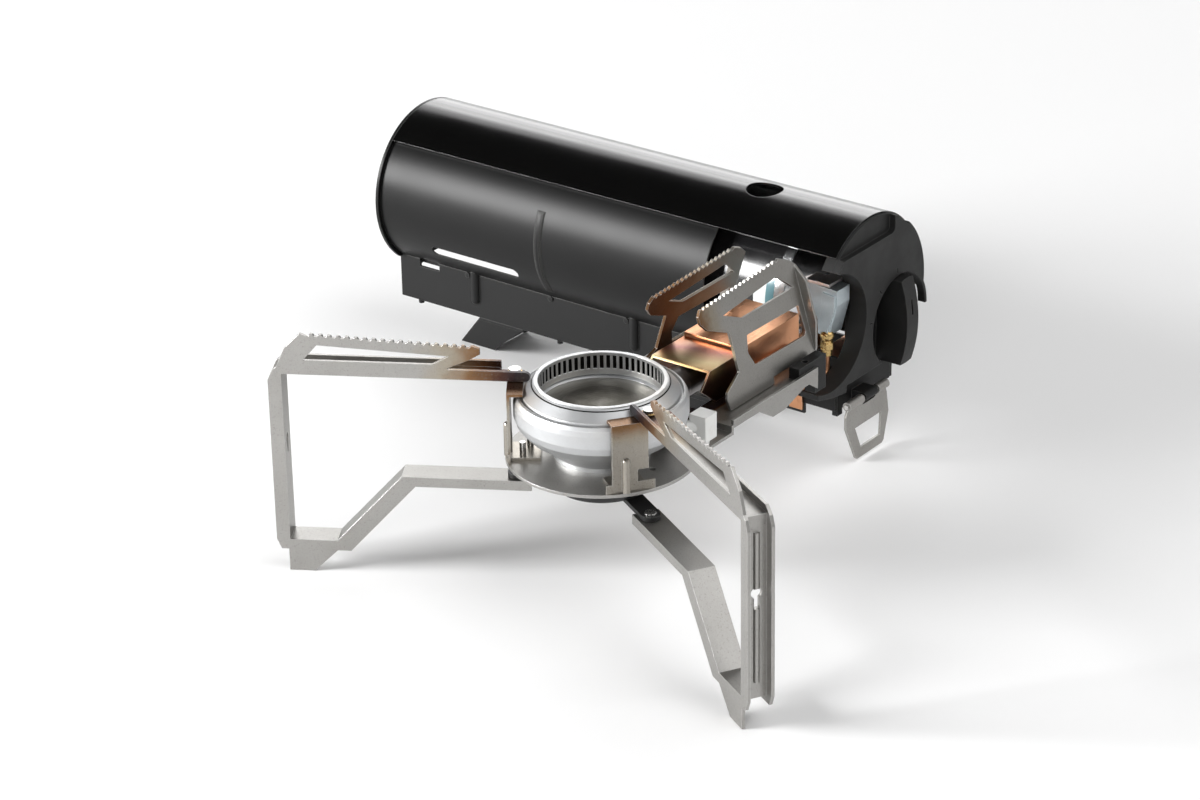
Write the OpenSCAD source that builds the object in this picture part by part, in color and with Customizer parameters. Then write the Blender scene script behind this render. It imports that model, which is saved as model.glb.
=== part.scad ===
// Butane cassette stove with a burner arm beside the body, legs spread, ready for use.
// Lengths are millimetres. +X runs along the body to the knob, the burner stands at -Y.

/* [Body] */
// length of the body from the left end to the face of the housing
body_len = 280; // [270:1:300]
// distance of the left end from the origin
body_left = 195.8; // [190:0.1:210]
// distance of the body axis behind the origin
axis_y = 110.8; // [105:0.1:120]
// height of the body axis
axis_z = 80.5; // [78:0.1:84]
// outer radius of the turning cover
cover_r = 43.9; // [43:0.1:46]
// thickness of the cover sheet
cover_t = 0.9; // [0.7:0.1:0.9]
// right end of the cover, before the housing's face
cover_short = 4.5; // [4.5:0.1:9]
// angle of the cover's front edge above level
cover_front_angle = 46.8; // [40:0.1:50]
// angle of the cover's back edge
cover_back_angle = 190; // [180:1:192]
// finger hole of the cover, diameter
finger_d = 18.5; // [14:0.1:22]
// finger hole of the cover, distance from the housing's face
finger_in = 66; // [50:1:90]
// outer radius of the fixed shells
shell_r = 41.9; // [41:0.1:41.9]
// thickness of the shell sheet
shell_t = 0.8; // [0.6:0.1:1]
// right end of the front shell, distance from the housing's face
shell_short = 74; // [70:1:90]
// right end of the rear shell, distance from the housing's face
rear_short = 18; // [17:1:40]
// top edge angle of the front shell, under the cover
shell_top_angle = 62; // [55:1:70]
// lower edge angle of both shells
shell_low_angle = -54.5; // [-56:0.5:-52]
// pressed rib of the front shell, distance from the left end
rib_x = 104; // [96:1:110]
// pressed rib, width
rib_w = 4.5; // [3:0.1:6]
// pressed rib, height
rib_h = 0.8; // [0.4:0.1:0.8]
// pressed rib, upper end angle
rib_top_angle = 26.6; // [20:0.1:35]
// pressed rib, lower end angle
rib_low_angle = -39.8; // [-42:0.1:-35]
// vent slot, left end
slot_x0 = 31; // [28:1:36]
// vent slot, right end
slot_x1 = 87; // [70:1:92]
// vent slot, height of its middle below the axis
slot_drop = 20.2; // [18:0.1:22]
// vent slot, height
slot_h = 5.2; // [4:0.1:6]
// thickness of the left end disc
disc_t = 1.5; // [1:0.1:2]
// height of the disc's lower edge
disc_low = 46.4; // [45:0.1:48]
// length of the guide ring behind the left disc
guide_len = 7; // [5:0.1:9]
// wall of the guide ring
guide_t = 2.6; // [2:0.1:3]
// angle by which guides and shell stay inside the cover's edges
lap_angle = 3; // [2:0.5:4]

/* [Rail] */
// half distance between the outer faces of the flanges
rail_half = 25.5; // [24:0.1:26]
// sheet thickness of rail and feet
rail_t = 1.5; // [1:0.1:2]
// lower edge of the flanges
rail_low = 23.3; // [22:0.1:26]
// height of the top of the rail's web
web_top = 45.6; // [45:0.1:46]
// right end of the rail, distance from the housing's face
rail_short = 7; // [6:0.5:10]
// right end of the web, distance from the housing's face
web_short = 46; // [44:1:55]
// height of the flange's stepped edge at the right end
step_low = 29; // [27:0.1:31]
// pressed gusset, radius
gusset_r = 2.6; // [2:0.1:3]
// pressed gusset, lower end
gusset_low = 33; // [30:0.1:36]
// gusset positions from the left end
gusset_x0 = 50; // [45:1:55]
// second gusset
gusset_x1 = 152; // [145:1:160]
// window half width of the web
web_win_half = 21; // [18:0.1:22]
// first window of the web, left end
web_win_x0 = 8; // [6:1:12]
// bridge between both windows of the web
web_bridge = 30; // [26:1:34]
// length of the second window
web_win_len = 62; // [55:1:68]
// web beyond its second window
web_rest = 46; // [42:1:52]
// small opening in the flange, left end
nick_x0 = 13; // [10:1:15]
// small opening in the flange, right end
nick_x1 = 26; // [22:1:30]
// small opening in the flange, lower edge
nick_low = 42.8; // [42:0.1:44]
// low notch in the rail's rear wall, length from the left end
notch_len = 43; // [30:1:46]
// top of that notch
notch_top = 29.5; // [27:0.1:32]
// top of a foot, edge nearer the rail's end
foot_x0 = 52; // [50:1:56]
// top of a foot, other edge
foot_x1 = 80; // [76:1:84]
// ground edge of a foot, near the rail's end
foot_x2 = 28.5; // [26:0.5:32]
// ground edge of a foot, other end
foot_x3 = 50.4; // [48:0.1:54]
// half depth of a foot on the ground
foot_half = 14; // [12:0.5:16]
// middle between both feet from the left end
feet_mid = 115; // [112:1:118]

/* [Housing] */
// thickness of the housing's face
face_t = 4.2; // [4:0.1:4.2]
// length of the housing's plug behind the face
plug_len = 5.8; // [5:0.1:7]
// lower edge of the housing
house_low = 45.2; // [45:0.1:46]
// radius of the housing's face
face_r = 42.8; // [42:0.1:43.5]
// small step in the face's rim, depth
chin_deep = 1.2; // [0.8:0.1:1.6]
// small step in the face's rim, start
chin_front_angle = 117; // [112:1:120]
// small step in the face's rim, end
chin_back_angle = 131; // [128:1:136]
// height of the flat edge across the face
chord_z = 111.7; // [108:0.1:114]
// depth of the face above that edge
chord_deep = 3.4; // [2:0.1:3.6]
// right end of the set-back part, from the axis
chord_y = 15.5; // [10:0.1:20]
// round bite, middle before the axis
bite_y = 39; // [36:0.1:42]
// round bite, middle below the axis
bite_z = 3.5; // [2:0.1:5]
// round bite, radius
bite_r = 30; // [26:0.1:31]
// knob middle behind the axis
knob_y = 20.5; // [19:0.1:22]
// knob middle below the axis
knob_z = 17; // [16:0.1:18]
// radius of the knob recess
well_r = 23.8; // [23.5:0.1:24.5]
// wall of the knob recess
well_t = 1.6; // [1.2:0.1:2]
// depth of the knob recess
well_deep = 13.5; // [10:0.1:13.5]
// collar that carries the cover, length
collar_len = 9; // [7:0.1:10]
// end block, left end before the housing's face
block_len = 25; // [22:1:30]
// end block, lower edge
block_low = 28.6; // [26:0.1:30]
// end block, half width
block_half = 23.6; // [22:0.1:24]

/* [Knob] */
// radius of the knob
knob_r = 22.9; // [20:0.1:23]
// thickness of the paddle
knob_w = 10; // [8:0.1:12]
// thickness of the knob's base
knob_base = 3; // [2:0.1:4]
// reach of the paddle beyond the face of the housing
knob_out = 8; // [6:0.1:10]
// drop of the paddle's end towards its tips
knob_bow = 4; // [2:0.1:5]
// radius of the spindle
spindle_r = 3; // [2.5:0.1:3.5]
// length of the spindle behind the knob
spindle_len = 9; // [7:0.1:9]
// pointer mark of the knob, length
mark_len = 8; // [6:0.1:10]
// pointer mark of the knob, width
mark_w = 1.4; // [1:0.1:2]

/* [Canister] */
// radius of the gas canister
can_r = 33; // [32:0.1:33]
// length of the canister's straight wall
can_len = 185; // [180:1:195]
// right end of its straight wall, before the housing's face
can_in1 = 33; // [33:1:40]
// right end of the domed shoulder, before the housing's face
can_in2 = 21; // [20:1:24]
// radius of the collar
can_collar_r = 18; // [16:0.1:20]
// height of the collar
can_collar_h = 2.6; // [2:0.1:3]
// radius of the seams
seam_r = 33.6; // [33.3:0.1:33.6]
// radius of the nozzle
nozzle_r = 3.2; // [2.5:0.1:4]

/* [Arm] */
// burner middle to the left of the housing's face
burner_in = 28; // [24:0.1:32]
// burner middle before the origin
burner_y = 76.4; // [70:0.1:80]
// radius of the round base plate
plate_r = 44.3; // [43:0.1:46]
// top of the round base plate
plate_top = 67.3; // [66:0.1:68]
// thickness of arm and bracket sheets
sheet = 1.5; // [1.2:0.1:1.8]
// half width of the arm
arm_half = 37.6; // [36:0.1:38]
// rear end of the arm behind the burner middle
arm_end = 121; // [115:1:124]
// start of the raised part of the arm
arm_step = 51; // [48:1:54]
// top of the raised sheet
arm_top = 70.6; // [70:0.1:71]
// top of the side flanges
flange_top = 73; // [72:0.1:74]
// lowest edge of the side flanges
flange_low = 62; // [60:0.1:64]
// pivot before the left rear corner, distance behind the burner middle
pivot_y = 113; // [110:1:115]
// pivot to the left of the burner middle
pivot_x = 21.6; // [21:0.1:22]
// radius of the pivot pin
pivot_r = 3; // [2.5:0.1:3.5]
// radius of the pivot post
post_r = 6; // [5:0.1:7]
// radius of the pivot bush
bush_r = 3.9; // [3.6:0.1:4]
// top of the bracket that carries the post
bracket_top = 50; // [49:0.1:50]
// thickness of that bracket
bracket_t = 2.4; // [2:0.1:2.6]

/* [Burner] */
// largest radius of the burner body
burner_r = 40; // [38:0.1:40.2]
// top of the flame ring
burner_top = 103.9; // [103:0.1:104]
// inner radius of the flame ring
ring_r = 28.7; // [27:0.1:29]
// number of flame slots
slots = 60; // [30:1:64]
// width of a flame slot
flame_w = 1.8; // [1.2:0.1:2]
// height of a flame slot
flame_h = 6.5; // [5:0.1:7]
// half width of the duct cover
duct_half = 16.5; // [15:0.1:17]
// top of the duct cover
duct_top = 88; // [86:0.1:89]
// front end of the duct cover behind the burner middle
duct_front = 59; // [56:1:62]
// rear end of the duct cover
duct_end = 136; // [125:1:138]
// thickness of the duct cover
duct_t = 1; // [0.8:0.1:1.2]
// radius of the mixing tube
tube_r = 8; // [7:0.1:8]

/* [Supports] */
// half distance of the rear supports at their upper reference height
lean_half = 12.2; // [11:0.1:14]
// reference height of the lean
lean_top = 120; // [118:1:121]
// sideways lean for each millimetre of height
lean = 0.3; // [0.26:0.01:0.32]
// front end of the rear supports behind the burner middle
rear_y0 = 56; // [54:1:58]
// length of the rear supports
rear_len = 79; // [74:1:82]
// height of the rear supports
rear_h = 53.6; // [52:0.1:54]
// teeth on one support
teeth = 19; // [12:1:24]
// depth of a tooth_deep
tooth_deep = 1.1; // [0.8:0.1:1.5]

/* [Legs] */
// angle between a leg and the X axis
leg_angle = 30; // [28:1:34]
// width of the leg channel
leg_w = 13; // [11.5:0.1:14]
// thickness of the leg sheet
leg_t = 1.6; // [1.2:0.1:1.8]
// radius of the leg's outer face
leg_r = 153.5; // [150:0.1:160]
// depth of the channel's flanges
leg_flange = 6.4; // [5:0.1:7]
// underside of the top bar
leg_top = 101; // [100.9:0.1:101.2]
// upper side of the lower inner bar
leg_mid = 50.5; // [48:0.1:50.8]
// upper side of the foot bar
leg_foot = 16; // [14:0.1:18]
// height of the flange's lower edge above ground
leg_clear = 11; // [9:0.1:12]
// inner end of both bars
leg_in = 33; // [33:0.1:35]
// inner end of the top bar's sheet
web_in = 36; // [36:0.1:36.5]
// start of the top bar's back flange
back_in = 47; // [46:1:50]
// width of the tongue on the top bar
tongue_w = 9.5; // [9:0.1:9.8]
// hinge of a leg, distance from the burner middle
hinge_r = 40; // [39.5:0.1:40.5]
// hinge of a leg, distance from the leg's front face
hinge_y = 6; // [5.5:0.1:6.5]
// radius of the leg pins
pin_r = 1.8; // [1.5:0.1:2]
// top of the pot supports on the legs
crown = 122; // [119:0.1:124]

/* [Tag] */
// latch tag, width at its top
tag_w = 37; // [32:0.1:38]
// latch tag, lower edge
tag_low = 1.5; // [1:0.1:3]
// latch tag, height of its pin
tag_pin_z = 33; // [32:0.1:33.5]
// latch tag, thickness
tag_t = 1.2; // [1:0.1:1.5]
// latch tag, distance before the housing's face
tag_in = 0.4; // [0.2:0.1:1]

/* [Details] */
// left end of the heat panel, before the housing's face
panel_len = 33; // [26:1:33]
// width of the heat panel's tab before the rail
panel_tab = 7.5; // [6:0.1:9]
// lower edge of that tab
tab_low = 25.5; // [24:0.1:28]
// size unit of the regulator's outline
reg_r = 10; // [9.5:0.1:10.2]
// depth of the regulator
reg_t = 11; // [10:0.1:11.5]
// front of the regulator before the axis
reg_y = 26; // [25.5:0.1:27]
// top of the regulator above the axis
reg_top = 14.1; // [14:0.1:16]
// raised arm on the regulator
pad_t = 1.2; // [1:0.1:1.6]
// room that the regulator leaves for the canister's shoulder
reg_room = 23; // [22.5:0.1:24]
// right end of the canister nozzle, before the housing's face
nozzle_in = 15.5; // [15.5:0.1:16]
// radius of the brass union
union_r = 3.4; // [3:0.1:4]
// brass union, distance from the housing's face
union_in = 12.5; // [12:0.1:13]
// brass union, distance before the axis
union_y = 25; // [24:0.5:27]
// brass union, height
union_z = 65; // [64:0.5:65]
// radius of the gas tube
gas_r = 1.6; // [1.4:0.1:1.8]
// bend radius of the gas tube
bend_r = 4; // [3.5:0.1:4.5]
// height of the gas tube's level run
tube_z = 48.4; // [48:0.1:49]
// length of the gas tube's run to the front
tube_run = 18; // [14:1:20]
// pivot bracket, reach to the left of the pivot
bracket_back = 18.4; // [16:0.1:22]
// pivot bracket, reach to the right of the pivot
bracket_fore = 15.6; // [12:0.1:15.6]
// reach of the pivot bracket before the axis
bracket_y = 84; // [82:1:86]
// radius of the piezo unit
piezo_r = 3.4; // [3:0.1:3.5]
// length of the piezo unit
piezo_len = 26; // [20:1:30]
// radius of the burner's neck
neck_r = 20; // [18:0.5:24]
// lower end of the flame ring
ring_low = 93; // [92:0.5:94]
// outer radius of the flame ring
ring_out = 30.6; // [30:0.1:31]
// lower end of the hub cover
hub_low = 52.4; // [52.4:0.1:54]
// half width of the straps that carry the legs' lower pins
strap_half = 4.6; // [4:0.1:5]
// radius of the hub cover
hub_r = 30; // [28:0.5:31]
// start of the mixing tube behind the burner's middle
tube_y = 40.4; // [40.2:0.1:42]
// length of the mixing tube inside the duct
mix_run = 18; // [14:1:20]
// height of the mixing tube's axis
tube_cz = 78.7; // [78:0.1:79]
// front end of the copper duct behind the burner's middle
copper_y0 = 88; // [84:1:92]
// width of the bent rear lip of a rear support
lip_w = 4.6; // [4:0.1:5]
// distance of the leg brackets from the burner's middle
bracket_r = 41.2; // [41:0.1:42]
// half width of the leg brackets
bracket_half = 8.5; // [8:0.1:9]
// top of the leg brackets
bracket_z = 100.7; // [100:0.1:100.7]
// turn between a leg and its bracket
bracket_turn = 6; // [4:1:8]
// radius of the small screws
screw_r = 1.5; // [1.2:0.1:1.6]
// igniter, distance to the right of the burner's middle
igniter_x = 33; // [32:0.5:34]
// igniter, distance behind the burner's middle
igniter_y = 33; // [28:0.5:36]
// igniter, width
igniter_w = 9; // [8:0.5:10]
// lower end of the diagonal bar, distance from the leg's outer face
knee_in = 35; // [32:0.5:42]
// upper end of the diagonal bar, distance from the burner
knee_r1 = 87; // [80:0.5:90]
// inner end of the legs' pot supports
plate_r0 = 55; // [54:0.5:57]
// outer end of the legs' pot supports, before the leg's outer face
plate_in = 2.5; // [2:0.5:6]
// foot tab of a leg, inner end on the ground, before the leg's outer face
tab_in0 = 17.5; // [14:0.5:20]
// foot tab of a leg, outer end, before the leg's outer face
tab_in1 = 5.5; // [4:0.5:8]
// keyhole of a leg, radius
key_r = 2.6; // [2:0.1:3]
// keyhole of a leg, height
key_z = 65.5; // [60:0.5:70]

/* [Hidden] */
// one name for each node
// facets, true circles in the exact model
$fn = 64;
// overrun of cutting shapes
cut = 1;
// gap between pieces that move past each other
part_gap = 0.3;
// running clearance of pins and guides
run_fit = 0.05;
// right end of the cover
cover_end = body_len - cover_short;
// finger hole, distance from the left end
finger_x = body_len - finger_in;
// right end of the front shell
shell_end = body_len - shell_short;
// right end of the rear shell
rear_end = body_len - rear_short;
// right end of the rail
rail_end = body_len - rail_short;
// right end of the web
web_end = body_len - web_short;
// second window of the web, right end
web_win_x3 = web_end - web_rest;
// second window of the web, left end
web_win_x2 = web_win_x3 - web_win_len;
// first window of the web, right end
web_win_x1 = web_win_x2 - web_bridge;
// left end of the end block
block_x0 = body_len - block_len;
// right end of the canister's straight wall
can_x1 = body_len - can_in1;
// right end of the domed shoulder
can_x2 = body_len - can_in2;
// left end of the canister
can_x0 = can_x1 - can_len;
// pin of the latch tag, distance from the left end
tag_x = body_len - tag_in;
// left end of the heat panel
panel_x0 = body_len - panel_len;
// right end of the canister nozzle
nozzle_end = body_len - nozzle_in;
// brass union, distance from the left end
union_x = body_len - union_in;
// burner middle to the right of the origin
burner_x = body_len - body_left - burner_in;
// left end of the pivot bracket
bracket_x0 = body_left + burner_x - pivot_x - bracket_back;
// right end of the pivot bracket
bracket_x1 = body_left + burner_x - pivot_x + bracket_fore;
// lower end of the diagonal bar, distance from the burner
knee_r0 = leg_r - knee_in;
// length of the legs' pot supports
plate_len = leg_r - plate_in - plate_r0;
// foot tab of a leg, inner end on the ground
tab_r0 = leg_r - tab_in0;
// foot tab of a leg, outer end
tab_r1 = leg_r - tab_in1;
// inner radius of the cover
cover_in = cover_r - cover_t;
// radius of the surfaces that the cover rides on
ride_r = cover_in - run_fit;
// left end of the cover
cover_start = disc_t + part_gap;
// back of the housing's face
face_back = body_len - face_t;
// back of the housing's plug
plug_back = face_back - plug_len;
// floor of the knob recess
well_floor = body_len - well_deep;
// back of the recess cup
cup_back = well_floor - well_t - part_gap;
// top of the end block
block_top = house_low - cut;
// back face of the knob
knob_back = well_floor + part_gap;
// middle of the knob in the body's section
knob_at = [knob_y, -knob_z];
// seat of the rail flange on the shell
rail_top = axis_z - sqrt(shell_r * shell_r - rail_half * rail_half);
// slope length of a foot's front
foot_slope = sqrt(rail_low * rail_low + (rail_half - foot_half) * (rail_half - foot_half));
// tilt of a foot's front
foot_tilt = atan((rail_half - foot_half) / rail_low);
// slope length of a foot's web
foot_run = sqrt(rail_low * rail_low + (foot_x1 - foot_x3) * (foot_x1 - foot_x3));
// tilt of a foot's web
foot_lean = atan((foot_x1 - foot_x3) / rail_low);
// tilt of the rear supports
lean_angle = atan(lean);
// height of the lower bar's flange edge
leg_mid_low = leg_mid - leg_flange + leg_t;
// top edge of the top bar's flanges
leg_top_edge = leg_top + leg_flange - leg_t;
// radius of the vertical bar's sheet
leg_web_r = leg_r - leg_flange;

// top of the straps that carry the legs' lower pins
strap_top = hub_low + sheet / 3;
// top of the pivot bush
bush_top = arm_top + sheet / 2;
// height of the pin heads on the legs
pin_top = leg_top + leg_t + 3 * part_gap;
// piezo unit in the body's section
piezo_at = (can_r + shell_r - shell_t) / 2 * [-cos(200), sin(200)];
// radius of the paddle's curved end
bow_r = (knob_r * knob_r + knob_bow * knob_bow) / (2 * knob_bow);
// shares of the sizes, all outlines run anticlockwise or clockwise once round
// arm flange, from the front end
flange_shares = [[0, 0.64], [0.3, 0.64], [0.46, 0], [0.6, 0], [0.84, 0.45], [0.9, 0.45], [1, 0], [1, 1],
    [0, 1]];
// burner profile, radius and height
burner_shares = [[0.5, 0], [0.56, 0], [0.56, 0.06], [0.68, 0.18], [0.86, 0.32], [0.97, 0.46], [1, 0.56],
    [1, 0.72], [0.99, 0.79], [0.965, 0.835], [0.94, 0.845], [0.925, 0.8], [0.91, 0.8], [0.9, 0.85],
    [0.765, 0.985], [0.765, 0.7], [0.7, 0.66], [0.7, 0.6], [0.84, 0.55], [0.8, 0.42], [0.5, 0.2]];
// one tooth, along and down
tooth_shares = [[0, 0], [0.3, 0], [0.5, 1], [0.8, 1]];
// rear support, ends of the serrated top
rear_top_shares = [[0.03, 0.95], [0.84, 1]];
// rear support, rest of the outline from the rear top
rear_edge_shares = [[0.85, 1], [0.94, 0.94], [1, 0.87], [1, 0.06], [0.54, 0.06], [0.53, 0], [0.08, 0],
    [0.07, 0.1], [0.09, 0.16], [0.24, 0.27], [0.24, 0.63], [0.05, 0.75], [0, 0.83], [0, 0.9]];
// rear support, upper window
rear_window_shares = [[0.22, 0.8], [0.79, 0.86], [0.93, 0.69], [0.39, 0.69]];
// rear support, lower window
rear_opening_shares = [[0.39, 0.53], [0.93, 0.52], [0.94, 0.27], [0.92, 0.24], [0.4, 0.25], [0.36, 0.38]];
// rear lip, across and up
lip_shares = [[-0.3, 0.07], [0.1, 0.07], [1, 0.33], [1, 0.72], [0, 0.87], [-0.3, 0.87]];
// steps of the shell's rib, width and height
rib_shares = [[1, 0.4], [0.8, 0.75], [0.45, 1]];
// leg's pot support, ends of the serrated top
leg_top_shares = [[0.03, 0.8], [0.84, 0.98]];
// leg's pot support, rest of the outline from the outer top
leg_edge_shares = [[0.86, 0.98], [0.94, 0.6], [0.99, 0.08], [0.12, 0.08], [0.16, 0.26], [0.05, 0.48],
    [0, 0.62], [0, 0.75]];
// leg's pot support, window
leg_window_shares = [[0.15, 0.55], [0.78, 0.71], [0.85, 0.34], [0.23, 0.34]];
// latch tag, along and up
tag_shares = [[-0.72, 0.84], [-0.72, 0.63], [-0.48, 0.04], [-0.44, 0], [0.17, 0], [0.21, 0.04],
    [0.32, 0.5], [0.27, 0.84], [0.22, 1], [-0.66, 1]];
// latch tag, window
tag_window_shares = [[-0.5, 0.56], [0.14, 0.56], [0.12, 0.17], [-0.35, 0.17]];
// regulator block, along and up
reg_shares = [[-0.74, 1.4], [0.92, 1.29], [0.92, 0.5], [0.49, -1.18], [-0.14, -1.18], [-0.19, -0.43],
    [-0.53, 0.44]];
// raised arm on the regulator, along and up
pad_shares = [[0.15, 1.1], [0.85, 1], [0.85, 0.4], [0.43, -1.1], [-0.08, -1.1], [0, -0.4]];
// regulator bracket, across and up
bracket_shares = [[-1.48, 1.52], [-0.5, 1.2], [0.9, 0.6], [0.9, -0.7], [-1.48, -0.7]];
// front shelf of the housing, shares of the cover's radius, across and up
shelf_shares = [[-1.16, -0.6], [-1.16, -0.775], [-0.86, -0.85], [-0.6, -0.885], [-0.6, -0.8],
    [-0.4, -0.8], [-0.4, -0.6]];

black = [0.09, 0.09, 0.1];
gloss = [0.04, 0.04, 0.045];
steel = [0.66, 0.65, 0.63];
alloy = [0.75, 0.75, 0.75];
copper = [0.72, 0.42, 0.28];
brass = [0.75, 0.6, 0.3];
white = [0.92, 0.92, 0.9];
zinc = [0.55, 0.62, 0.66];
plastic = [0.13, 0.13, 0.14];

// direction in the body's section, measured from the front upwards
function dir(a) = [-cos(a), sin(a)];

// ring piece in the body's section between two angles
module band(ro, ri, a0, a1) {
    difference() {
        intersection() {
            circle(r = ro);
            polygon(concat([[0, 0]], [for (i = [0:4]) 2 * ro * dir(a0 + (a1 - a0) * i / 4)]));
        }
        circle(r = ri);
    }
}

// section drawn about the body's axis and run along X
module along(x0, x1) {
    translate([x0 - body_left, axis_y, axis_z])
        rotate([90, 0, 90])
            linear_extrude(height = x1 - x0)
                children();
}

// everything above one height in the body's section
module above(z) {
    translate([-2 * cover_r, z - axis_z])
        square([4 * cover_r, 4 * cover_r]);
}

// space of the body, measured from the left end and the ground
module at_body() {
    translate([-body_left, axis_y, 0])
        children();
}

// block between two corners
module block(x0, x1, y0, y1, z0, z1) {
    translate([x0, y0, z0])
        cube([x1 - x0, y1 - y0, z1 - z0]);
}

// space of the arm, measured from the burner's middle and the ground
module at_burner() {
    translate([burner_x, -burner_y, 0])
        children();
}

// upright rod or tube in the arm's space
module rod(x, y, z0, z1, r) {
    translate([x, y, z0])
        cylinder(r = r, h = z1 - z0);
}

// room kept free for the knob
module knob_room(from) {
    along(from, body_len + cut)
        translate(knob_at)
            circle(r = well_r);
}

module base_rail() {
    color(black) difference() {
        union() {
            difference() {
                at_body() {
                    block(0, rail_end, -rail_half, -rail_half + rail_t, rail_low, axis_z);
                    block(0, rail_end, rail_half - rail_t, rail_half, rail_low, axis_z);
                    gusset(gusset_x0);
                    gusset(gusset_x1);
                }
                along(-cut, rail_end + cut)
                    circle(r = shell_r);
            }
            at_body()
                block(0, web_end, -rail_half + rail_t, rail_half - rail_t, web_top - rail_t, web_top);
        }
        at_body() {
            block(web_win_x0, web_win_x1, -web_win_half, web_win_half, rail_low, web_top + cut);
            block(web_win_x2, web_win_x3, -web_win_half, web_win_half, rail_low, web_top + cut);
            block(nick_x0, nick_x1, -rail_half - cut, -rail_half + 2 * rail_t, nick_low, axis_z);
            block(-cut, notch_len, rail_half - 2 * rail_t, rail_half + cut, 0, notch_top);
            block(web_end, rail_end + cut, -2 * rail_half, 2 * rail_half, block_top, axis_z);
            block(block_x0, rail_end + cut, -2 * rail_half, 2 * rail_half, 0, step_low);
        }
        knob_room(cup_back - part_gap);
    }
}

// pressed gusset on the front flange
module gusset(x) {
    translate([x, -rail_half, gusset_low])
        cylinder(r = gusset_r, h = axis_z - gusset_low);
    translate([x, -rail_half, gusset_low])
        sphere(r = gusset_r);
}

module feet() {
    color(black) at_body() {
        foot();
        translate([2 * feet_mid, 0, 0])
            mirror([1, 0, 0])
                foot();
    }
}

// one foot, folded from sheet
module foot() {
    difference() {
        union() {
            foot_side();
            mirror([0, 1, 0])
                foot_side();
            translate([foot_x1, 0, rail_low])
                rotate([0, foot_lean, 0])
                    translate([-rail_t, 0, 0])
                        rotate([90, 0, 90])
                            linear_extrude(height = rail_t)
                                polygon([[-rail_half, 0], [rail_half, 0],
                                    [foot_half, -foot_run], [-foot_half, -foot_run]]);
            block(foot_x0, foot_x1, -rail_half, -rail_half + 4 * rail_t, rail_low - rail_t, rail_low);
            block(foot_x0, foot_x1, rail_half - 4 * rail_t, rail_half, rail_low - rail_t, rail_low);
        }
        block(-foot_x1, 2 * foot_x1, -2 * rail_half, 2 * rail_half, -rail_low, 0);
        block(-foot_x1, 2 * foot_x1, -2 * rail_half, 2 * rail_half, rail_low, 2 * rail_low);
    }
}

// slanted side of a foot
module foot_side() {
    translate([0, -rail_half, rail_low])
        rotate([foot_tilt, 0, 0])
            rotate([90, 0, 0])
                translate([0, 0, -rail_t])
                    linear_extrude(height = rail_t)
                        polygon([[foot_x0, rail_t], [foot_x1, rail_t], [foot_x1, 0],
                            [foot_x3, -foot_slope - rail_t], [foot_x2, -foot_slope - rail_t],
                            [foot_x0, 0]]);
}

module front_shell() {
    color(black) difference() {
        union() {
            along(disc_t, shell_end)
                band(shell_r, shell_r - shell_t, shell_low_angle, shell_top_angle);
            for (s = rib_shares)
                along(rib_x - s[0] * rib_w / 2, rib_x + s[0] * rib_w / 2)
                    band(shell_r + s[1] * rib_h, shell_r - shell_t,
                        rib_low_angle + (1 - s[0]) * lap_angle, rib_top_angle - (1 - s[0]) * lap_angle);
        }
        at_body() {
            translate([slot_x0 + slot_h / 2, -cover_r, axis_z - slot_drop])
                rotate([-90, 0, 0])
                    cylinder(r = slot_h / 2, h = shell_r / 2);
            translate([slot_x1 - slot_h / 2, -cover_r, axis_z - slot_drop])
                rotate([-90, 0, 0])
                    cylinder(r = slot_h / 2, h = shell_r / 2);
            block(slot_x0 + slot_h / 2, slot_x1 - slot_h / 2, -cover_r, -shell_r / 2,
                axis_z - slot_drop - slot_h / 2, axis_z - slot_drop + slot_h / 2);
            block(nick_x0, nick_x1, -cover_r, -rail_half + 2 * rail_t, 0, rail_top + cut);
        }
    }
}

module rear_shell() {
    color(black) along(disc_t, rear_end)
        band(shell_r, shell_r - shell_t, 180 - shell_low_angle, cover_back_angle - lap_angle);
}

module left_disc() {
    color(black) {
        along(0, disc_t) intersection() {
            circle(r = cover_r);
            above(disc_low);
        }
        along(disc_t, disc_t + guide_len)
            band(ride_r, ride_r - guide_t, shell_top_angle + lap_angle / 3, cover_back_angle - lap_angle);
    }
}

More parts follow.
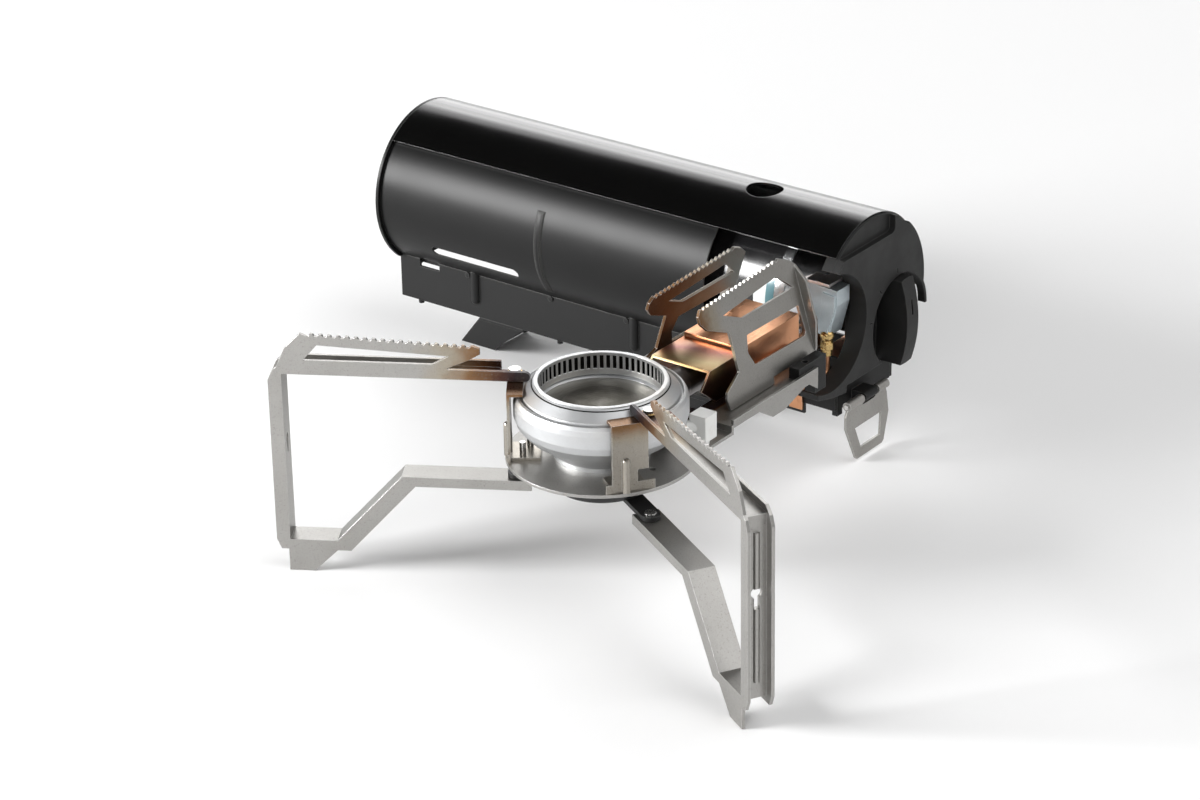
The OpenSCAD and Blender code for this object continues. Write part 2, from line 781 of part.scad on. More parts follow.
module end_housing() {
    color(plastic) difference() {
        union() {
            along(face_back, body_len) intersection() {
                circle(r = face_r);
                above(house_low);
            }
            along(face_back, body_len) intersection() {
                translate(knob_at)
                    circle(r = well_r + well_t);
                above(axis_z - knob_z);
            }
            along(cup_back, body_len)
                polygon(cover_r * shelf_shares);
            along(plug_back, face_back) intersection() {
                circle(r = ride_r);
                above(house_low);
            }
            along(cup_back, plug_back) intersection() {
                circle(r = ride_r);
                above(house_low);
                translate(knob_at)
                    circle(r = well_r + well_t);
            }
            along(face_back - collar_len, plug_back)
                band(ride_r, ride_r - guide_t, cover_front_angle + lap_angle, cover_back_angle - lap_angle);
        }
        along(cup_back - cut, body_len + cut)
            translate([-bite_y, -bite_z])
                circle(r = bite_r);
        along(well_floor, body_len + cut)
            translate(knob_at)
                circle(r = well_r);
        along(cup_back - cut, body_len + cut)
            translate(knob_at)
                circle(r = spindle_r + run_fit);
        along(body_len - chord_deep, body_len + cut) {
            translate([-2 * cover_r, chord_z - axis_z])
                square([2 * cover_r + chord_y - guide_t, cover_r]);
            translate([chord_y - guide_t, chord_z - axis_z + guide_t])
                circle(r = guide_t);
            translate([-cut, chord_z - axis_z + guide_t])
                square([chord_y + cut, cover_r]);
        }
        along(body_len - chord_deep, body_len + cut)
            band(cover_r, face_r - chin_deep, chin_front_angle, chin_back_angle);
        at_body() {
            block(union_x - gas_r - part_gap, union_x + gas_r + part_gap,
                -2 * cover_r, gas_r + part_gap - union_y, tube_z - gas_r - part_gap, axis_z);
            block(cup_back - cut, union_x, -2 * cover_r, gas_r + part_gap - union_y - bend_r - tube_run,
                tube_z - gas_r - part_gap, axis_z);
        }
        face_ticks();
    }
}

// plain ticks around the knob recess
module face_ticks() {
    for (a = [95, 130, 165])
        along(body_len - mark_w / 2, body_len + cut)
            translate(knob_at)
                rotate([0, 0, a])
                    translate([well_r + mark_w, -mark_w / 4])
                        square([2 * mark_w, mark_w / 2]);
}

module end_block() {
    color(black) difference() {
        at_body() union() {
            block(block_x0, rail_end, -block_half, block_half, block_low, block_top);
            block(rail_end - 2 * rail_t, rail_end, -block_half, -block_half + 3 * rail_t,
                block_low - 2 * rail_t, block_low);
            tag_lug();
        }
        at_body() {
            block(block_x0 - cut, rail_end - rail_t, -block_half + rail_t, block_half - rail_t,
                0, block_top - rail_t);
            translate([tag_x, 0, tag_pin_z])
                rotate([90, 0, 0])
                    cylinder(r = tag_t, h = 3 * block_half, center = true);
        }
        knob_room(cup_back - part_gap);
    }
}

// lug of the end block that carries the tag's pin
module tag_lug() {
    block(rail_end, tag_x, -tag_w * 0.3, -tag_w * 0.02, tag_pin_z - 2 * tag_t, tag_pin_z + 2 * tag_t);
    translate([tag_x, -tag_w * 0.02, tag_pin_z])
        rotate([90, 0, 0])
            cylinder(r = 2 * tag_t, h = tag_w * 0.28);
}

module rail_rivets() {
    color(steel) at_body() {
        for (x = [gusset_x0 - gusset_r, rib_x - gusset_r, gusset_x1 - gusset_r])
            translate([x - 1.5 * rail_t, -rail_half, rail_top - rail_t])
                rotate([90, 0, 0])
                    cylinder(r = rail_t, h = rail_t / 2);
        for (x = [gusset_x0 / 4, rib_x, 2 * gusset_x1 - rib_x])
            translate([x, -rail_half + rail_t / 2, rail_low - rail_t])
                cylinder(r = rail_t, h = rail_t);
    }
}

module housing_screws() {
    color(steel) for (a = [100, 160])
        along(face_back - collar_len, plug_back)
            translate((ride_r - 2 * guide_t - part_gap) * dir(a))
                circle(r = guide_t);
}

module heat_panel() {
    color(copper) difference() {
        at_body() union() {
            block(panel_x0, face_back, -block_half, block_half - rail_t, block_top, house_low);
            block(panel_x0, panel_x0 + panel_tab, -rail_half - sheet, -block_half, block_top, house_low);
            block(panel_x0, panel_x0 + panel_tab, -rail_half - sheet, -rail_half, tab_low, house_low);
        }
        knob_room(cup_back - part_gap);
    }
}

module canister_saddles() {
    color(plastic) difference() {
        at_body() for (x = [web_win_x1, web_win_x3])
            block(x + 2 * rail_t, x + 7 * rail_t, -web_win_half, web_win_half, web_top, axis_z - shell_r / 2);
        along(0, body_len)
            circle(r = can_r + run_fit);
    }
}

module regulator_body() {
    color(zinc) difference() {
        at_body() {
            translate([nozzle_end, reg_t - reg_y, axis_z])
                rotate([90, 0, 0])
                    linear_extrude(height = reg_t)
                        polygon(reg_r * reg_shares);
            translate([nozzle_end, -reg_y, axis_z])
                rotate([90, 0, 0])
                    linear_extrude(height = pad_t)
                        polygon(reg_r * pad_shares);
        }
        along(can_x1, can_x2 + can_collar_h + part_gap)
            circle(r = reg_room);
        at_body()
            union_ball();
    }
}

module regulator_bracket() {
    color(alloy) difference() {
        union() {
            along(nozzle_end - sheet, nozzle_end)
                polygon(reg_r * bracket_shares);
            at_body()
                block(nozzle_end - 0.85 * reg_r, nozzle_end + 0.5 * reg_r, -reg_y - pad_t / 2,
                    reg_t - reg_y + sheet, axis_z + reg_top, axis_z + reg_top + sheet);
        }
        along(nozzle_end - sheet - cut, nozzle_end + cut)
            circle(r = nozzle_r + run_fit);
        along(can_x1, can_x2 + can_collar_h + part_gap)
            circle(r = reg_room);
    }
}

// round head of the brass union
module union_ball() {
    translate([union_x, -union_y, union_z + union_r])
        sphere(r = union_r);
}

module brass_union() {
    color(brass) {
        at_body() {
            rod(union_x, -union_y, union_z - 2 * union_r, union_z + union_r, 0.75 * union_r);
            translate([union_x, -union_y, union_z - union_r])
                cylinder(r = union_r, h = union_r, $fn = 6);
            union_ball();
        }
    }
}

module gas_tube() {
    color(copper) at_body() {
        rod(union_x, -union_y, tube_z + bend_r, union_z - 2 * union_r, gas_r);
        translate([union_x, -union_y - bend_r, tube_z + bend_r])
            rotate([90, 0, 90])
                rotate([0, 0, -90])
                    rotate_extrude(angle = 90)
                        translate([bend_r, 0])
                            circle(r = gas_r);
        translate([union_x, -union_y - bend_r, tube_z])
            rotate([90, 0, 0])
                cylinder(r = gas_r, h = tube_run);
        translate([union_x - bend_r, -union_y - bend_r - tube_run, tube_z])
            rotate([0, 0, -90])
                rotate_extrude(angle = 90)
                    translate([bend_r, 0])
                        circle(r = gas_r);
        translate([bracket_x1, -union_y - 2 * bend_r - tube_run, tube_z])
            rotate([0, 90, 0])
                cylinder(r = gas_r, h = union_x - bend_r - bracket_x1);
    }
}

module piezo_unit() {
    color(white) {
        along(cup_back - piezo_len, cup_back)
            translate(piezo_at)
                circle(r = piezo_r);
        along(cup_back - 1.4 * piezo_len, cup_back - piezo_len)
            translate(piezo_at)
                circle(r = piezo_r / 3);
    }
}

module pivot_bracket() {
    color(black) at_body() {
        block(bracket_x0, bracket_x1, -bracket_y, -rail_half, bracket_top - bracket_t, bracket_top);
        block(bracket_x0, bracket_x1, -rail_half - bracket_t, -rail_half,
            bracket_top - 4 * bracket_t, bracket_top - bracket_t);
    }
}

module pivot_post() {
    color(steel) at_burner() {
        rod(-pivot_x, pivot_y, bracket_top, arm_top - sheet - part_gap, post_r);
        rod(-pivot_x, pivot_y, arm_top - sheet - part_gap, bush_top + part_gap, pivot_r);
        rod(-pivot_x, pivot_y, bush_top + part_gap, bush_top + part_gap + sheet, bush_r);
    }
}

module cover() {
    color(gloss) difference() {
        along(cover_start, cover_end)
            band(cover_r, cover_in, cover_front_angle, cover_back_angle);
        translate([finger_x - body_left, axis_y, axis_z])
            cylinder(r = finger_d / 2, h = 2 * cover_r);
    }
}

module knob() {
    color(plastic) difference() {
        union() {
            along(knob_back, knob_back + knob_base)
                translate(knob_at)
                    circle(r = knob_r);
            intersection() {
                along(knob_back, body_len + knob_out)
                    translate(knob_at)
                        circle(r = knob_r);
                translate([body_len + knob_out - bow_r - body_left, axis_y + knob_y + knob_w / 2,
                    axis_z - knob_z])
                    rotate([90, 0, 0])
                        cylinder(r = bow_r, h = knob_w, $fn = 4 * $fn);
            }
        }
        along(body_len + knob_out - 1.2 * mark_w, body_len + knob_out + cut)
            translate([knob_y - mark_w / 2, mark_len / 2 - knob_z])
                square([mark_w, mark_len]);
        along(knob_back - cut, knob_back + knob_base / 2)
            translate(knob_at)
                circle(r = spindle_r);
    }
}

module knob_spindle() {
    color(steel) along(knob_back - spindle_len, knob_back + knob_base / 2)
        translate(knob_at)
            circle(r = spindle_r);
}

module canister() {
    color(black) {
        along(can_x0, can_x1)
            circle(r = can_r);
        for (x = [can_x0, can_x1 - 2 * sheet])
            along(x, x + 2 * sheet)
                circle(r = seam_r);
    }
}

module canister_dome() {
    color(alloy) translate([can_x1 - body_left, axis_y, axis_z])
        rotate([0, 90, 0]) {
            cylinder(r1 = can_r - part_gap, r2 = can_collar_r + sheet, h = can_x2 - can_x1);
            translate([0, 0, can_x2 - can_x1])
                cylinder(r = can_collar_r, h = can_collar_h);
        }
}

module canister_nozzle() {
    color(white) along(can_x2 + can_collar_h, nozzle_end - sheet)
        circle(r = nozzle_r);
}

// outline of the round plate and its tail
module plate_outline() {
    circle(r = plate_r);
    translate([-arm_half, 0])
        square([2 * arm_half, arm_step]);
}

// side flange of the arm, drawn as distance behind the burner and height
module arm_flange() {
    rotate([90, 0, 90])
        linear_extrude(height = sheet)
            polygon([for (s = flange_shares) [arm_step + s[0] * (arm_end - arm_step),
                flange_low + s[1] * (flange_top - flange_low)]]);
}

module arm_plate() {
    color(steel) at_burner() difference() {
        union() {
            translate([0, 0, plate_top - sheet])
                linear_extrude(height = sheet)
                    plate_outline();
            block(-arm_half, arm_half, arm_step - sheet, arm_step, plate_top - sheet, arm_top);
            block(-arm_half, arm_half, arm_step, arm_end, arm_top - sheet, arm_top);
            translate([arm_half - sheet, 0, 0])
                arm_flange();
            translate([-arm_half, 0, 0])
                arm_flange();
        }
        rod(-pivot_x, pivot_y, flange_low, arm_top + cut, bush_r);
        block(-duct_half + 3 * duct_t, duct_half - 3 * duct_t, arm_step + 3 * sheet, arm_end - 6 * sheet,
            flange_low, arm_top + cut);
        rod(0.78 * arm_half, -sheet, flange_low, plate_top + cut, sheet);
        rod(0, 0, flange_low, plate_top + cut, neck_r);
        for (m = [0, 1])
            mirror([m, 0, 0])
                at_bracket()
                    screw_places()
                        rod(0, 0, flange_low, plate_top + cut, screw_r);
    }
}

// space of the right leg, measured from the burner's middle along the leg
module at_leg() {
    rotate([0, 0, -leg_angle])
        children();
}

// space of the right leg bracket, X across its sheet, Y to its right
module at_bracket() {
    rotate([0, 0, -leg_angle - bracket_turn])
        children();
}

// places of the two screws in a leg bracket
module screw_places() {
    translate([bracket_r - 3.5 * sheet, -bracket_half / 2, 0])
        children();
    translate([bracket_r - 5.6 * sheet, bracket_half / 2, 0])
        children();
}

module arm_bracket() {
    color(black) at_burner() difference() {
        union() {
            block(arm_half - 5 * sheet, arm_half - sheet, arm_end - 9 * sheet, arm_end,
                arm_top, arm_top + 4 * sheet);
            block(arm_half - 5 * sheet, arm_half - sheet, arm_end, arm_end + 6 * sheet,
                flange_low - 2 * sheet, arm_top + 4 * sheet);
        }
        translate([arm_half - 3 * sheet, arm_end - 3 * sheet, arm_top + cut])
            cylinder(r = sheet, h = 4 * sheet);
    }
}

module pivot_bush() {
    color(brass) at_burner() difference() {
        union() {
            rod(-pivot_x, pivot_y, arm_top - sheet, bush_top, bush_r);
            rod(-pivot_x, pivot_y, arm_top, bush_top, bush_r + part_gap);
        }
        rod(-pivot_x, pivot_y, flange_low, bush_top + cut, pivot_r + run_fit);
    }
}

module burner_body() {
    color(alloy) at_burner() difference() {
        rotate_extrude()
            polygon([for (s = burner_shares) [s[0] * burner_r, plate_top + s[1] * (burner_top - plate_top)]]);
        translate([0, burner_r * 0.5, tube_cz])
            rotate([-90, 0, 0])
                cylinder(r = tube_r - sheet, h = burner_r);
    }
}

module flame_ring() {
    color(alloy) at_burner() difference() {
        rod(0, 0, ring_low, burner_top, ring_out);
        rod(0, 0, ring_low - cut, burner_top + cut, ring_r);
        for (i = [1:slots])
            rotate([0, 0, 360 * i / slots])
                block(ring_r - cut, ring_out - sheet / 3, -flame_w / 2, flame_w / 2,
                    burner_top - sheet - flame_h, burner_top - sheet);
    }
}

module burner_floor() {
    color(steel) at_burner() {
        rod(0, 0, ring_low - 2 * sheet, ring_low - sheet, 0.7 * burner_r);
        rod(0, 0, ring_low - sheet, ring_low - sheet / 2, 0.62 * ring_r);
        rod(0, 0, plate_top + sheet, ring_low - 2 * sheet, neck_r / 4);
    }
}

module hub_cover() {
    color(black) at_burner() difference() {
        union() {
            translate([0, 0, hub_low])
                cylinder(r1 = hub_r - 5 * sheet, r2 = hub_r, h = plate_top - sheet - hub_low);
            for (m = [0, 1])
                mirror([m, 0, 0])
                    at_leg() {
                        block(hub_r / 2, hinge_r, hinge_y - strap_half, hinge_y + strap_half,
                            leg_mid + part_gap, strap_top);
                        rod(hinge_r, hinge_y, leg_mid + part_gap, strap_top, strap_half);
                    }
        }
        translate([0, 0, hub_low + sheet])
            cylinder(r1 = hub_r - 6 * sheet, r2 = hub_r - sheet, h = plate_top - sheet - hub_low);
        for (m = [0, 1])
            mirror([m, 0, 0])
                at_leg()
                    rod(hinge_r, hinge_y, leg_mid, hub_low + cut, pin_r);
    }
}

module mixing_tube() {
    color(plastic) at_burner() difference() {
        union() {
            translate([0, tube_y, tube_cz])
                rotate([-90, 0, 0])
                    cylinder(r = tube_r, h = duct_front + mix_run - tube_y);
            translate([0, tube_y, tube_cz])
                rotate([-90, 0, 0])
                    cylinder(r1 = 1.45 * tube_r, r2 = tube_r, h = duct_front - tube_y);
        }
        translate([0, tube_y - cut, tube_cz])
            rotate([-90, 0, 0])
                cylinder(r = tube_r - sheet, h = duct_front + mix_run);
        block(-2 * tube_r, 2 * tube_r, 0, arm_step, 0, plate_top);
        block(-2 * tube_r, 2 * tube_r, arm_step - 2 * sheet, duct_front + mix_run, 0, arm_top);
    }
}

module jet_holder() {
    color(brass) at_burner() {
        translate([0, duct_front + mix_run - sheet, tube_cz])
            rotate([-90, 0, 0])
                cylinder(r = tube_r - sheet, h = tube_r + sheet);
        translate([0, duct_front + mix_run + tube_r, tube_cz])
            rotate([-90, 0, 0])
                cylinder(r = tube_r - sheet, h = tube_r, $fn = 6);
    }
}

module duct_cover() {
    color(copper) at_burner() difference() {
        translate([-duct_half, 0, 0])
            rotate([90, 0, 90])
                linear_extrude(height = 2 * duct_half)
                    polygon([[duct_front, duct_top - 4 * duct_t], [duct_front + 3 * duct_t, duct_top],
                        [copper_y0, duct_top], [copper_y0, arm_top], [duct_front + 8 * duct_t, arm_top],
                        [duct_front - 4 * duct_t, duct_top - 8 * duct_t]]);
        block(-duct_half + duct_t, duct_half - duct_t, 0, 2 * duct_end, 0, duct_top - duct_t);
    }
}

module copper_duct() {
    color(copper) at_burner() difference() {
        union() {
            block(-duct_half, duct_half, copper_y0, duct_end, arm_top, duct_top + 2 * duct_t);
            block(duct_half, duct_half + 3 * duct_t, copper_y0, duct_end - 8 * duct_t,
                arm_top, arm_top + 6 * duct_t);
        }
        block(-duct_half + duct_t, duct_half - duct_t, 0, 2 * duct_end, 0, duct_top + duct_t);
    }
}

// serrated line between two points, one ridge for each tooth_deep
function serrated(p, q) = [for (i = [0:teeth - 1], s = tooth_shares)
    p + (q - p) * (i + s[0]) / teeth - [0, tooth_deep * s[1]]];

// point of a share table inside a frame of given size
function inside(s, w, h) = [s[0] * w, s[1] * h];

// flat outline of a rear support
module rear_outline() {
    difference() {
        polygon(concat(serrated(inside(rear_top_shares[0], rear_len, rear_h),
            inside(rear_top_shares[1], rear_len, rear_h)),
            [for (s = rear_edge_shares) inside(s, rear_len, rear_h)]));
        polygon([for (s = rear_window_shares) inside(s, rear_len, rear_h)]);
        polygon([for (s = rear_opening_shares) inside(s, rear_len, rear_h)]);
    }
}

// right rear support, leaning towards the middle
module rear_support() {
    translate([lean_half, rear_y0, lean_top])
        rotate([0, -lean_angle, 0])
            translate([0, 0, -(lean_top - arm_top) / cos(lean_angle)])
                rotate([90, 0, 90])
                    linear_extrude(height = sheet)
                        rear_outline();
}

// bent rear edge of a rear support
module rear_lip() {
    translate([lean_half, rear_y0, lean_top])
        rotate([0, -lean_angle, 0])
            translate([0, 0, -(lean_top - arm_top) / cos(lean_angle)])
                translate([sheet, rear_len - sheet, 0])
                    rotate([90, 0, 0])
                        translate([0, 0, -sheet])
                            linear_extrude(height = sheet)
                                polygon([for (s = lip_shares) inside(s, lip_w, rear_h)]);
}

module rear_support_right() {
    color(steel) at_burner() difference() {
        union() {
            rear_support();
            rear_lip();
        }
        block(0, 2 * arm_half, 0, 2 * arm_end, 0, arm_top);
    }
}

module rear_support_left() {
    color(steel) at_burner() mirror([1, 0, 0]) difference() {
        union() {
            rear_support();
            rear_lip();
        }
        block(0, 2 * arm_half, 0, 2 * arm_end, 0, arm_top);
    }
}

// right leg bracket in its own space
module leg_bracket() {
    difference() {
        union() {
            translate([bracket_r, -bracket_half, plate_top])
                cube([sheet, 2 * bracket_half, bracket_z - plate_top]);
            block(bracket_r - 9 * sheet, bracket_r, -bracket_half, bracket_half, plate_top,
                plate_top + sheet);
            block(bracket_r, bracket_r + sheet, -bracket_half - 2 * sheet, bracket_half + 2 * sheet,
                plate_top, plate_top + 3 * sheet);
            block(bracket_r - 4 * sheet, bracket_r, -bracket_half, bracket_half + 2 * sheet,
                bracket_z - sheet, bracket_z);
            rotate([0, 0, bracket_turn])
                rod(hinge_r, hinge_y, bracket_z - sheet, bracket_z, 2 * pin_r);
            translate([bracket_r + sheet, -bracket_half / 4, plate_top])
                cylinder(r = 1.3 * sheet, h = 10 * sheet);
            translate([bracket_r + sheet, -bracket_half / 4, plate_top + 10 * sheet])
                sphere(r = 1.3 * sheet);
        }
        block(bracket_r - cut, bracket_r + sheet + cut, 0.4 * bracket_half, bracket_half + cut,
            plate_top + 3 * sheet, plate_top + 7 * sheet);
        rotate([0, 0, bracket_turn])
            rod(hinge_r, hinge_y, bracket_z - 2 * sheet, bracket_z + cut, pin_r);
        screw_places()
            rod(0, 0, plate_top - cut, plate_top + 2 * sheet, screw_r);
    }
}

module leg_bracket_right() {
    color(steel) at_burner() at_bracket() leg_bracket();
}

module leg_bracket_left() {
    color(steel) at_burner() mirror([1, 0, 0]) at_bracket() leg_bracket();
}

module bracket_screws() {
    color(steel) at_burner() for (m = [0, 1])
        mirror([m, 0, 0])
            at_bracket()
                screw_places() {
                    rod(0, 0, plate_top - sheet, plate_top + 5 * sheet, screw_r);
                    rod(0, 0, plate_top - 2 * sheet, plate_top - sheet, 2 * screw_r);
                }
}

module leg_pins() {
    color(steel) at_burner() for (m = [0, 1])
        mirror([m, 0, 0])
            at_leg() {
                rod(hinge_r, hinge_y, bracket_z - sheet, pin_top, pin_r);
                rod(hinge_r, hinge_y, pin_top, pin_top + sheet, 1.6 * pin_r);
                rod(hinge_r, hinge_y, leg_mid - leg_t - part_gap, strap_top, pin_r);
                rod(hinge_r, hinge_y, strap_top, strap_top + sheet / 2, 1.6 * pin_r);
                rod(hinge_r, hinge_y, leg_mid - leg_t - part_gap - sheet, leg_mid - leg_t - part_gap,
                    1.8 * pin_r);
            }
}

module pin_washers() {
    color(brass) at_burner() for (m = [0, 1])
        mirror([m, 0, 0])
            at_leg()
                difference() {
                    rod(hinge_r, hinge_y, leg_top + leg_t + part_gap, pin_top, 1.9 * pin_r);
                    rod(hinge_r, hinge_y, leg_top, pin_top + cut, pin_r);
                }
}

module igniter_block() {
    color(white) at_burner() {
        block(igniter_x - igniter_w / 2, igniter_x + igniter_w / 2, igniter_y - igniter_w / 2,
            igniter_y + igniter_w / 2, plate_top + 2 * sheet, plate_top + 2 * sheet + 1.4 * igniter_w);
        rod(igniter_x, igniter_y, plate_top, plate_top + 2 * sheet, igniter_w / 3);
        translate([igniter_x, igniter_y, plate_top + igniter_w])
            rotate([90, 0, atan(-igniter_x / igniter_y)])
                cylinder(r = 2 * sheet, h = 0.9 * igniter_w);
    }
}

module electrode() {
    color(steel) at_burner()
        translate([igniter_x, igniter_y, plate_top + igniter_w])
            rotate([90, 0, atan(-igniter_x / igniter_y)])
                translate([0, 0, 0.9 * igniter_w])
                    cylinder(r = sheet / 2, h = sheet);
}

module igniter_screws() {
    color(steel) at_burner() for (d = [-1, 1])
        rod(igniter_x + d * 1.4 * screw_r, igniter_y - igniter_w * 0.72, plate_top,
            plate_top + 3 * screw_r, screw_r);
}

// outline of a leg's flange, distance from the burner and height
module leg_outline(inner) {
    polygon([[inner, leg_top_edge], [leg_web_r, leg_top_edge],
        [leg_r - leg_flange / 3, leg_top_edge - leg_flange / 2], [leg_r, leg_top - leg_flange / 2],
        [leg_r, leg_foot], [leg_r - leg_flange / 3, leg_clear], [knee_r0, leg_clear],
        [knee_r1, leg_mid_low], [leg_in, leg_mid_low], [leg_in, leg_mid], [knee_r1 + leg_flange, leg_mid],
        [knee_r0 + leg_flange, leg_foot], [leg_web_r, leg_foot], [leg_web_r, leg_top], [inner, leg_top]]);
}

// outline of a leg's sheet between the flanges
module leg_web_outline() {
    polygon([[web_in, leg_top + leg_t], [leg_web_r + leg_t, leg_top + leg_t],
        [leg_web_r + leg_t, leg_foot - leg_t], [knee_r0 + leg_flange - leg_t / 2, leg_foot - leg_t],
        [knee_r1 + leg_flange - leg_t / 2, leg_mid - leg_t], [leg_in, leg_mid - leg_t], [leg_in, leg_mid],
        [knee_r1 + leg_flange, leg_mid], [knee_r0 + leg_flange, leg_foot], [leg_web_r, leg_foot],
        [leg_web_r, leg_top], [web_in, leg_top]]);
}

// pot support and foot tab that stand on the front flange
module leg_front() {
    crown_h = crown - leg_top;
    difference() {
        translate([plate_r0, leg_top])
            polygon(concat(serrated(inside(leg_top_shares[0], plate_len, crown_h),
                inside(leg_top_shares[1], plate_len, crown_h)),
                [for (s = leg_edge_shares) inside(s, plate_len, crown_h)]));
        translate([plate_r0, leg_top])
            polygon([for (s = leg_window_shares) inside(s, plate_len, crown_h)]);
    }
    polygon([[knee_r0 + leg_flange, leg_foot - leg_t], [knee_r0 + leg_flange, leg_clear],
        [tab_r0, 0], [tab_r1, 0], [tab_r1, leg_foot - leg_t]]);
}

// right leg in its own space
module leg() {
    difference() {
        union() {
            translate([0, leg_w, 0])
                rotate([90, 0, 0])
                    linear_extrude(height = leg_w)
                        leg_web_outline();
            translate([0, leg_t, 0])
                rotate([90, 0, 0])
                    linear_extrude(height = leg_t) {
                        leg_outline(leg_in + leg_t);
                        translate([leg_in + leg_t, (leg_top + leg_top_edge) / 2])
                            circle(r = (leg_top_edge - leg_top) / 2);
                        leg_front();
                    }
            translate([0, leg_w, 0])
                rotate([90, 0, 0])
                    linear_extrude(height = leg_t)
                        leg_outline(back_in);
            translate([leg_web_r + leg_t, leg_w / 2, leg_foot + leg_flange])
                cylinder(r = 0.9 * leg_t, h = leg_top - leg_foot - 2 * leg_flange);
        }
        block(0, back_in, tongue_w, 2 * leg_w, leg_top - cut, crown);
        rod(hinge_r, hinge_y, 0, crown, pin_r + run_fit);
        keyhole();
    }
}

// keyhole through the upright bar of a leg
module keyhole() {
    translate([leg_web_r - leg_t, leg_w / 2, key_z])
        rotate([0, 90, 0])
            cylinder(r = key_r, h = 4 * leg_t);
    block(leg_web_r - leg_t, leg_web_r + 3 * leg_t, (leg_w - key_r) / 2, (leg_w + key_r) / 2,
        key_z - 2.8 * key_r, key_z);
}

module leg_right() {
    color(steel) at_burner() at_leg() leg();
}

module leg_left() {
    color(steel) at_burner() mirror([1, 0, 0]) at_leg() leg();
}

module tag() {
    color(steel) difference() {
        union() {
            translate([tag_x - tag_t / 2 - body_left, axis_y, 0])
                rotate([90, 0, 90])
                    linear_extrude(height = tag_t)
                        difference() {
                            polygon([for (s = tag_shares) [s[0] * tag_w,
                                tag_low + s[1] * (tag_pin_z - tag_low)]]);
                            polygon([for (s = tag_window_shares)
                                [s[0] * tag_w, tag_low + s[1] * (tag_pin_z - tag_low)]]);
                        }
            at_body() {
                tag_knuckle(-0.68, 0.34);
                tag_knuckle(0.02, 0.24);
            }
        }
        at_body()
            translate([tag_x, tag_w, tag_pin_z])
                rotate([90, 0, 0])
                    cylinder(r = tag_t + run_fit, h = 2 * tag_w);
        at_body()
            block(tag_x - 3 * tag_t, tag_x + 3 * tag_t, -0.31 * tag_w, -0.01 * tag_w,
                tag_pin_z - 3 * tag_t, tag_pin_z + 3 * tag_t);
    }
}

// rolled knuckle of the tag, start and length as shares of its width
module tag_knuckle(start_share, long_share) {
    translate([tag_x, start_share * tag_w, tag_pin_z])
        rotate([-90, 0, 0])
            cylinder(r = 2 * tag_t, h = long_share * tag_w);
}

module tag_pin() {
    color(steel) at_body()
        translate([tag_x, -0.7 * tag_w, tag_pin_z])
            rotate([-90, 0, 0])
                cylinder(r = tag_t, h = 1.0 * tag_w);
}

base_rail();
feet();
front_shell();
rear_shell();
left_disc();
end_housing();
end_block();
rail_rivets();
housing_screws();
heat_panel();
canister_saddles();
regulator_body();
regulator_bracket();
brass_union();
gas_tube();
piezo_unit();
pivot_bracket();
pivot_post();
cover();
knob();
knob_spindle();
canister();
canister_dome();
canister_nozzle();
arm_plate();
arm_bracket();
pivot_bush();
burner_body();
flame_ring();
burner_floor();
hub_cover();
mixing_tube();
jet_holder();
duct_cover();
copper_duct();
rear_support_left();
rear_support_right();
leg_bracket_left();
leg_bracket_right();
bracket_screws();
leg_pins();
pin_washers();
igniter_block();
electrode();
igniter_screws();
leg_left();
leg_right();
tag();
tag_pin();
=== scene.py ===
import math

import bpy
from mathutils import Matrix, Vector


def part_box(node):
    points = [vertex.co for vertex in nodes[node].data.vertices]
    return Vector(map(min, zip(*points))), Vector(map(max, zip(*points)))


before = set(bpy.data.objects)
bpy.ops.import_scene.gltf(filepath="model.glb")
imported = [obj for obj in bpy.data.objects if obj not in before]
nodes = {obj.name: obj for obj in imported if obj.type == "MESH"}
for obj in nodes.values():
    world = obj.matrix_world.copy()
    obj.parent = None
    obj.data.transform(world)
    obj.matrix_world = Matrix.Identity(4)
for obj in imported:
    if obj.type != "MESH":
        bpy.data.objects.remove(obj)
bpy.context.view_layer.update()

# Places on the object, in metres of the shared frame
MM = 0.001
ring_lo, ring_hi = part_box("flame_ring")
BURNER = (ring_lo + ring_hi) / 2
BODY_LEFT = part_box("left_disc")[0].x
# Flame slots, where shade is painted, as distances from the burner's axis and as heights
RING_RADIUS = (ring_hi.x - ring_lo.x) / 2
SLOT_RADII = (RING_RADIUS - 1.5 * MM, RING_RADIUS + 1.2 * MM)
SLOT_HEIGHTS = (ring_lo.z + 2 * MM, ring_hi.z - 1.2 * MM)
# Bands of the canister, from the body's left end, and the height above which they give way to black, which is
# painted shade of the cover
WHITE_BAND = (229.5 * MM, 236.5 * MM)
TEAL_BAND = (236.5 * MM, 241.2 * MM)
BANDS_SHADED_ABOVE = 94 * MM
# Front edge of the duct cover, behind the burner's axis
DUCT_FRONT = 55 * MM
# Upper edge and foot of the dark sides of the duct cover
DUCT_SIDE = (86.2 * MM, 80.5 * MM)
# Heights between which the cast burner turns warm
WARM_HEIGHTS = (90.5 * MM, 100 * MM)

# Colours that heat leaves on stainless steel, from none to the hottest
HEAT_STOPS = (
    (0.0, (1, 1, 1)), (0.3, (0.93, 0.84, 0.7)), (0.52, (0.58, 0.33, 0.17)),
    (0.72, (0.2, 0.1, 0.085)), (0.86, (0.13, 0.12, 0.15)), (1.0, (0.2, 0.19, 0.18)),
)
# Colours along the thin duct cover, from its front edge to the copper
DUCT_STOPS = (
    (0.0, (0.24, 0.11, 0.06)), (0.12, (0.4, 0.27, 0.12)), (0.32, (0.47, 0.37, 0.2)),
    (0.5, (0.45, 0.28, 0.18)), (0.64, (0.38, 0.18, 0.16)), (0.78, (0.46, 0.26, 0.18)),
    (0.9, (0.46, 0.2, 0.1)), (1.0, (0.45, 0.18, 0.09)),
)
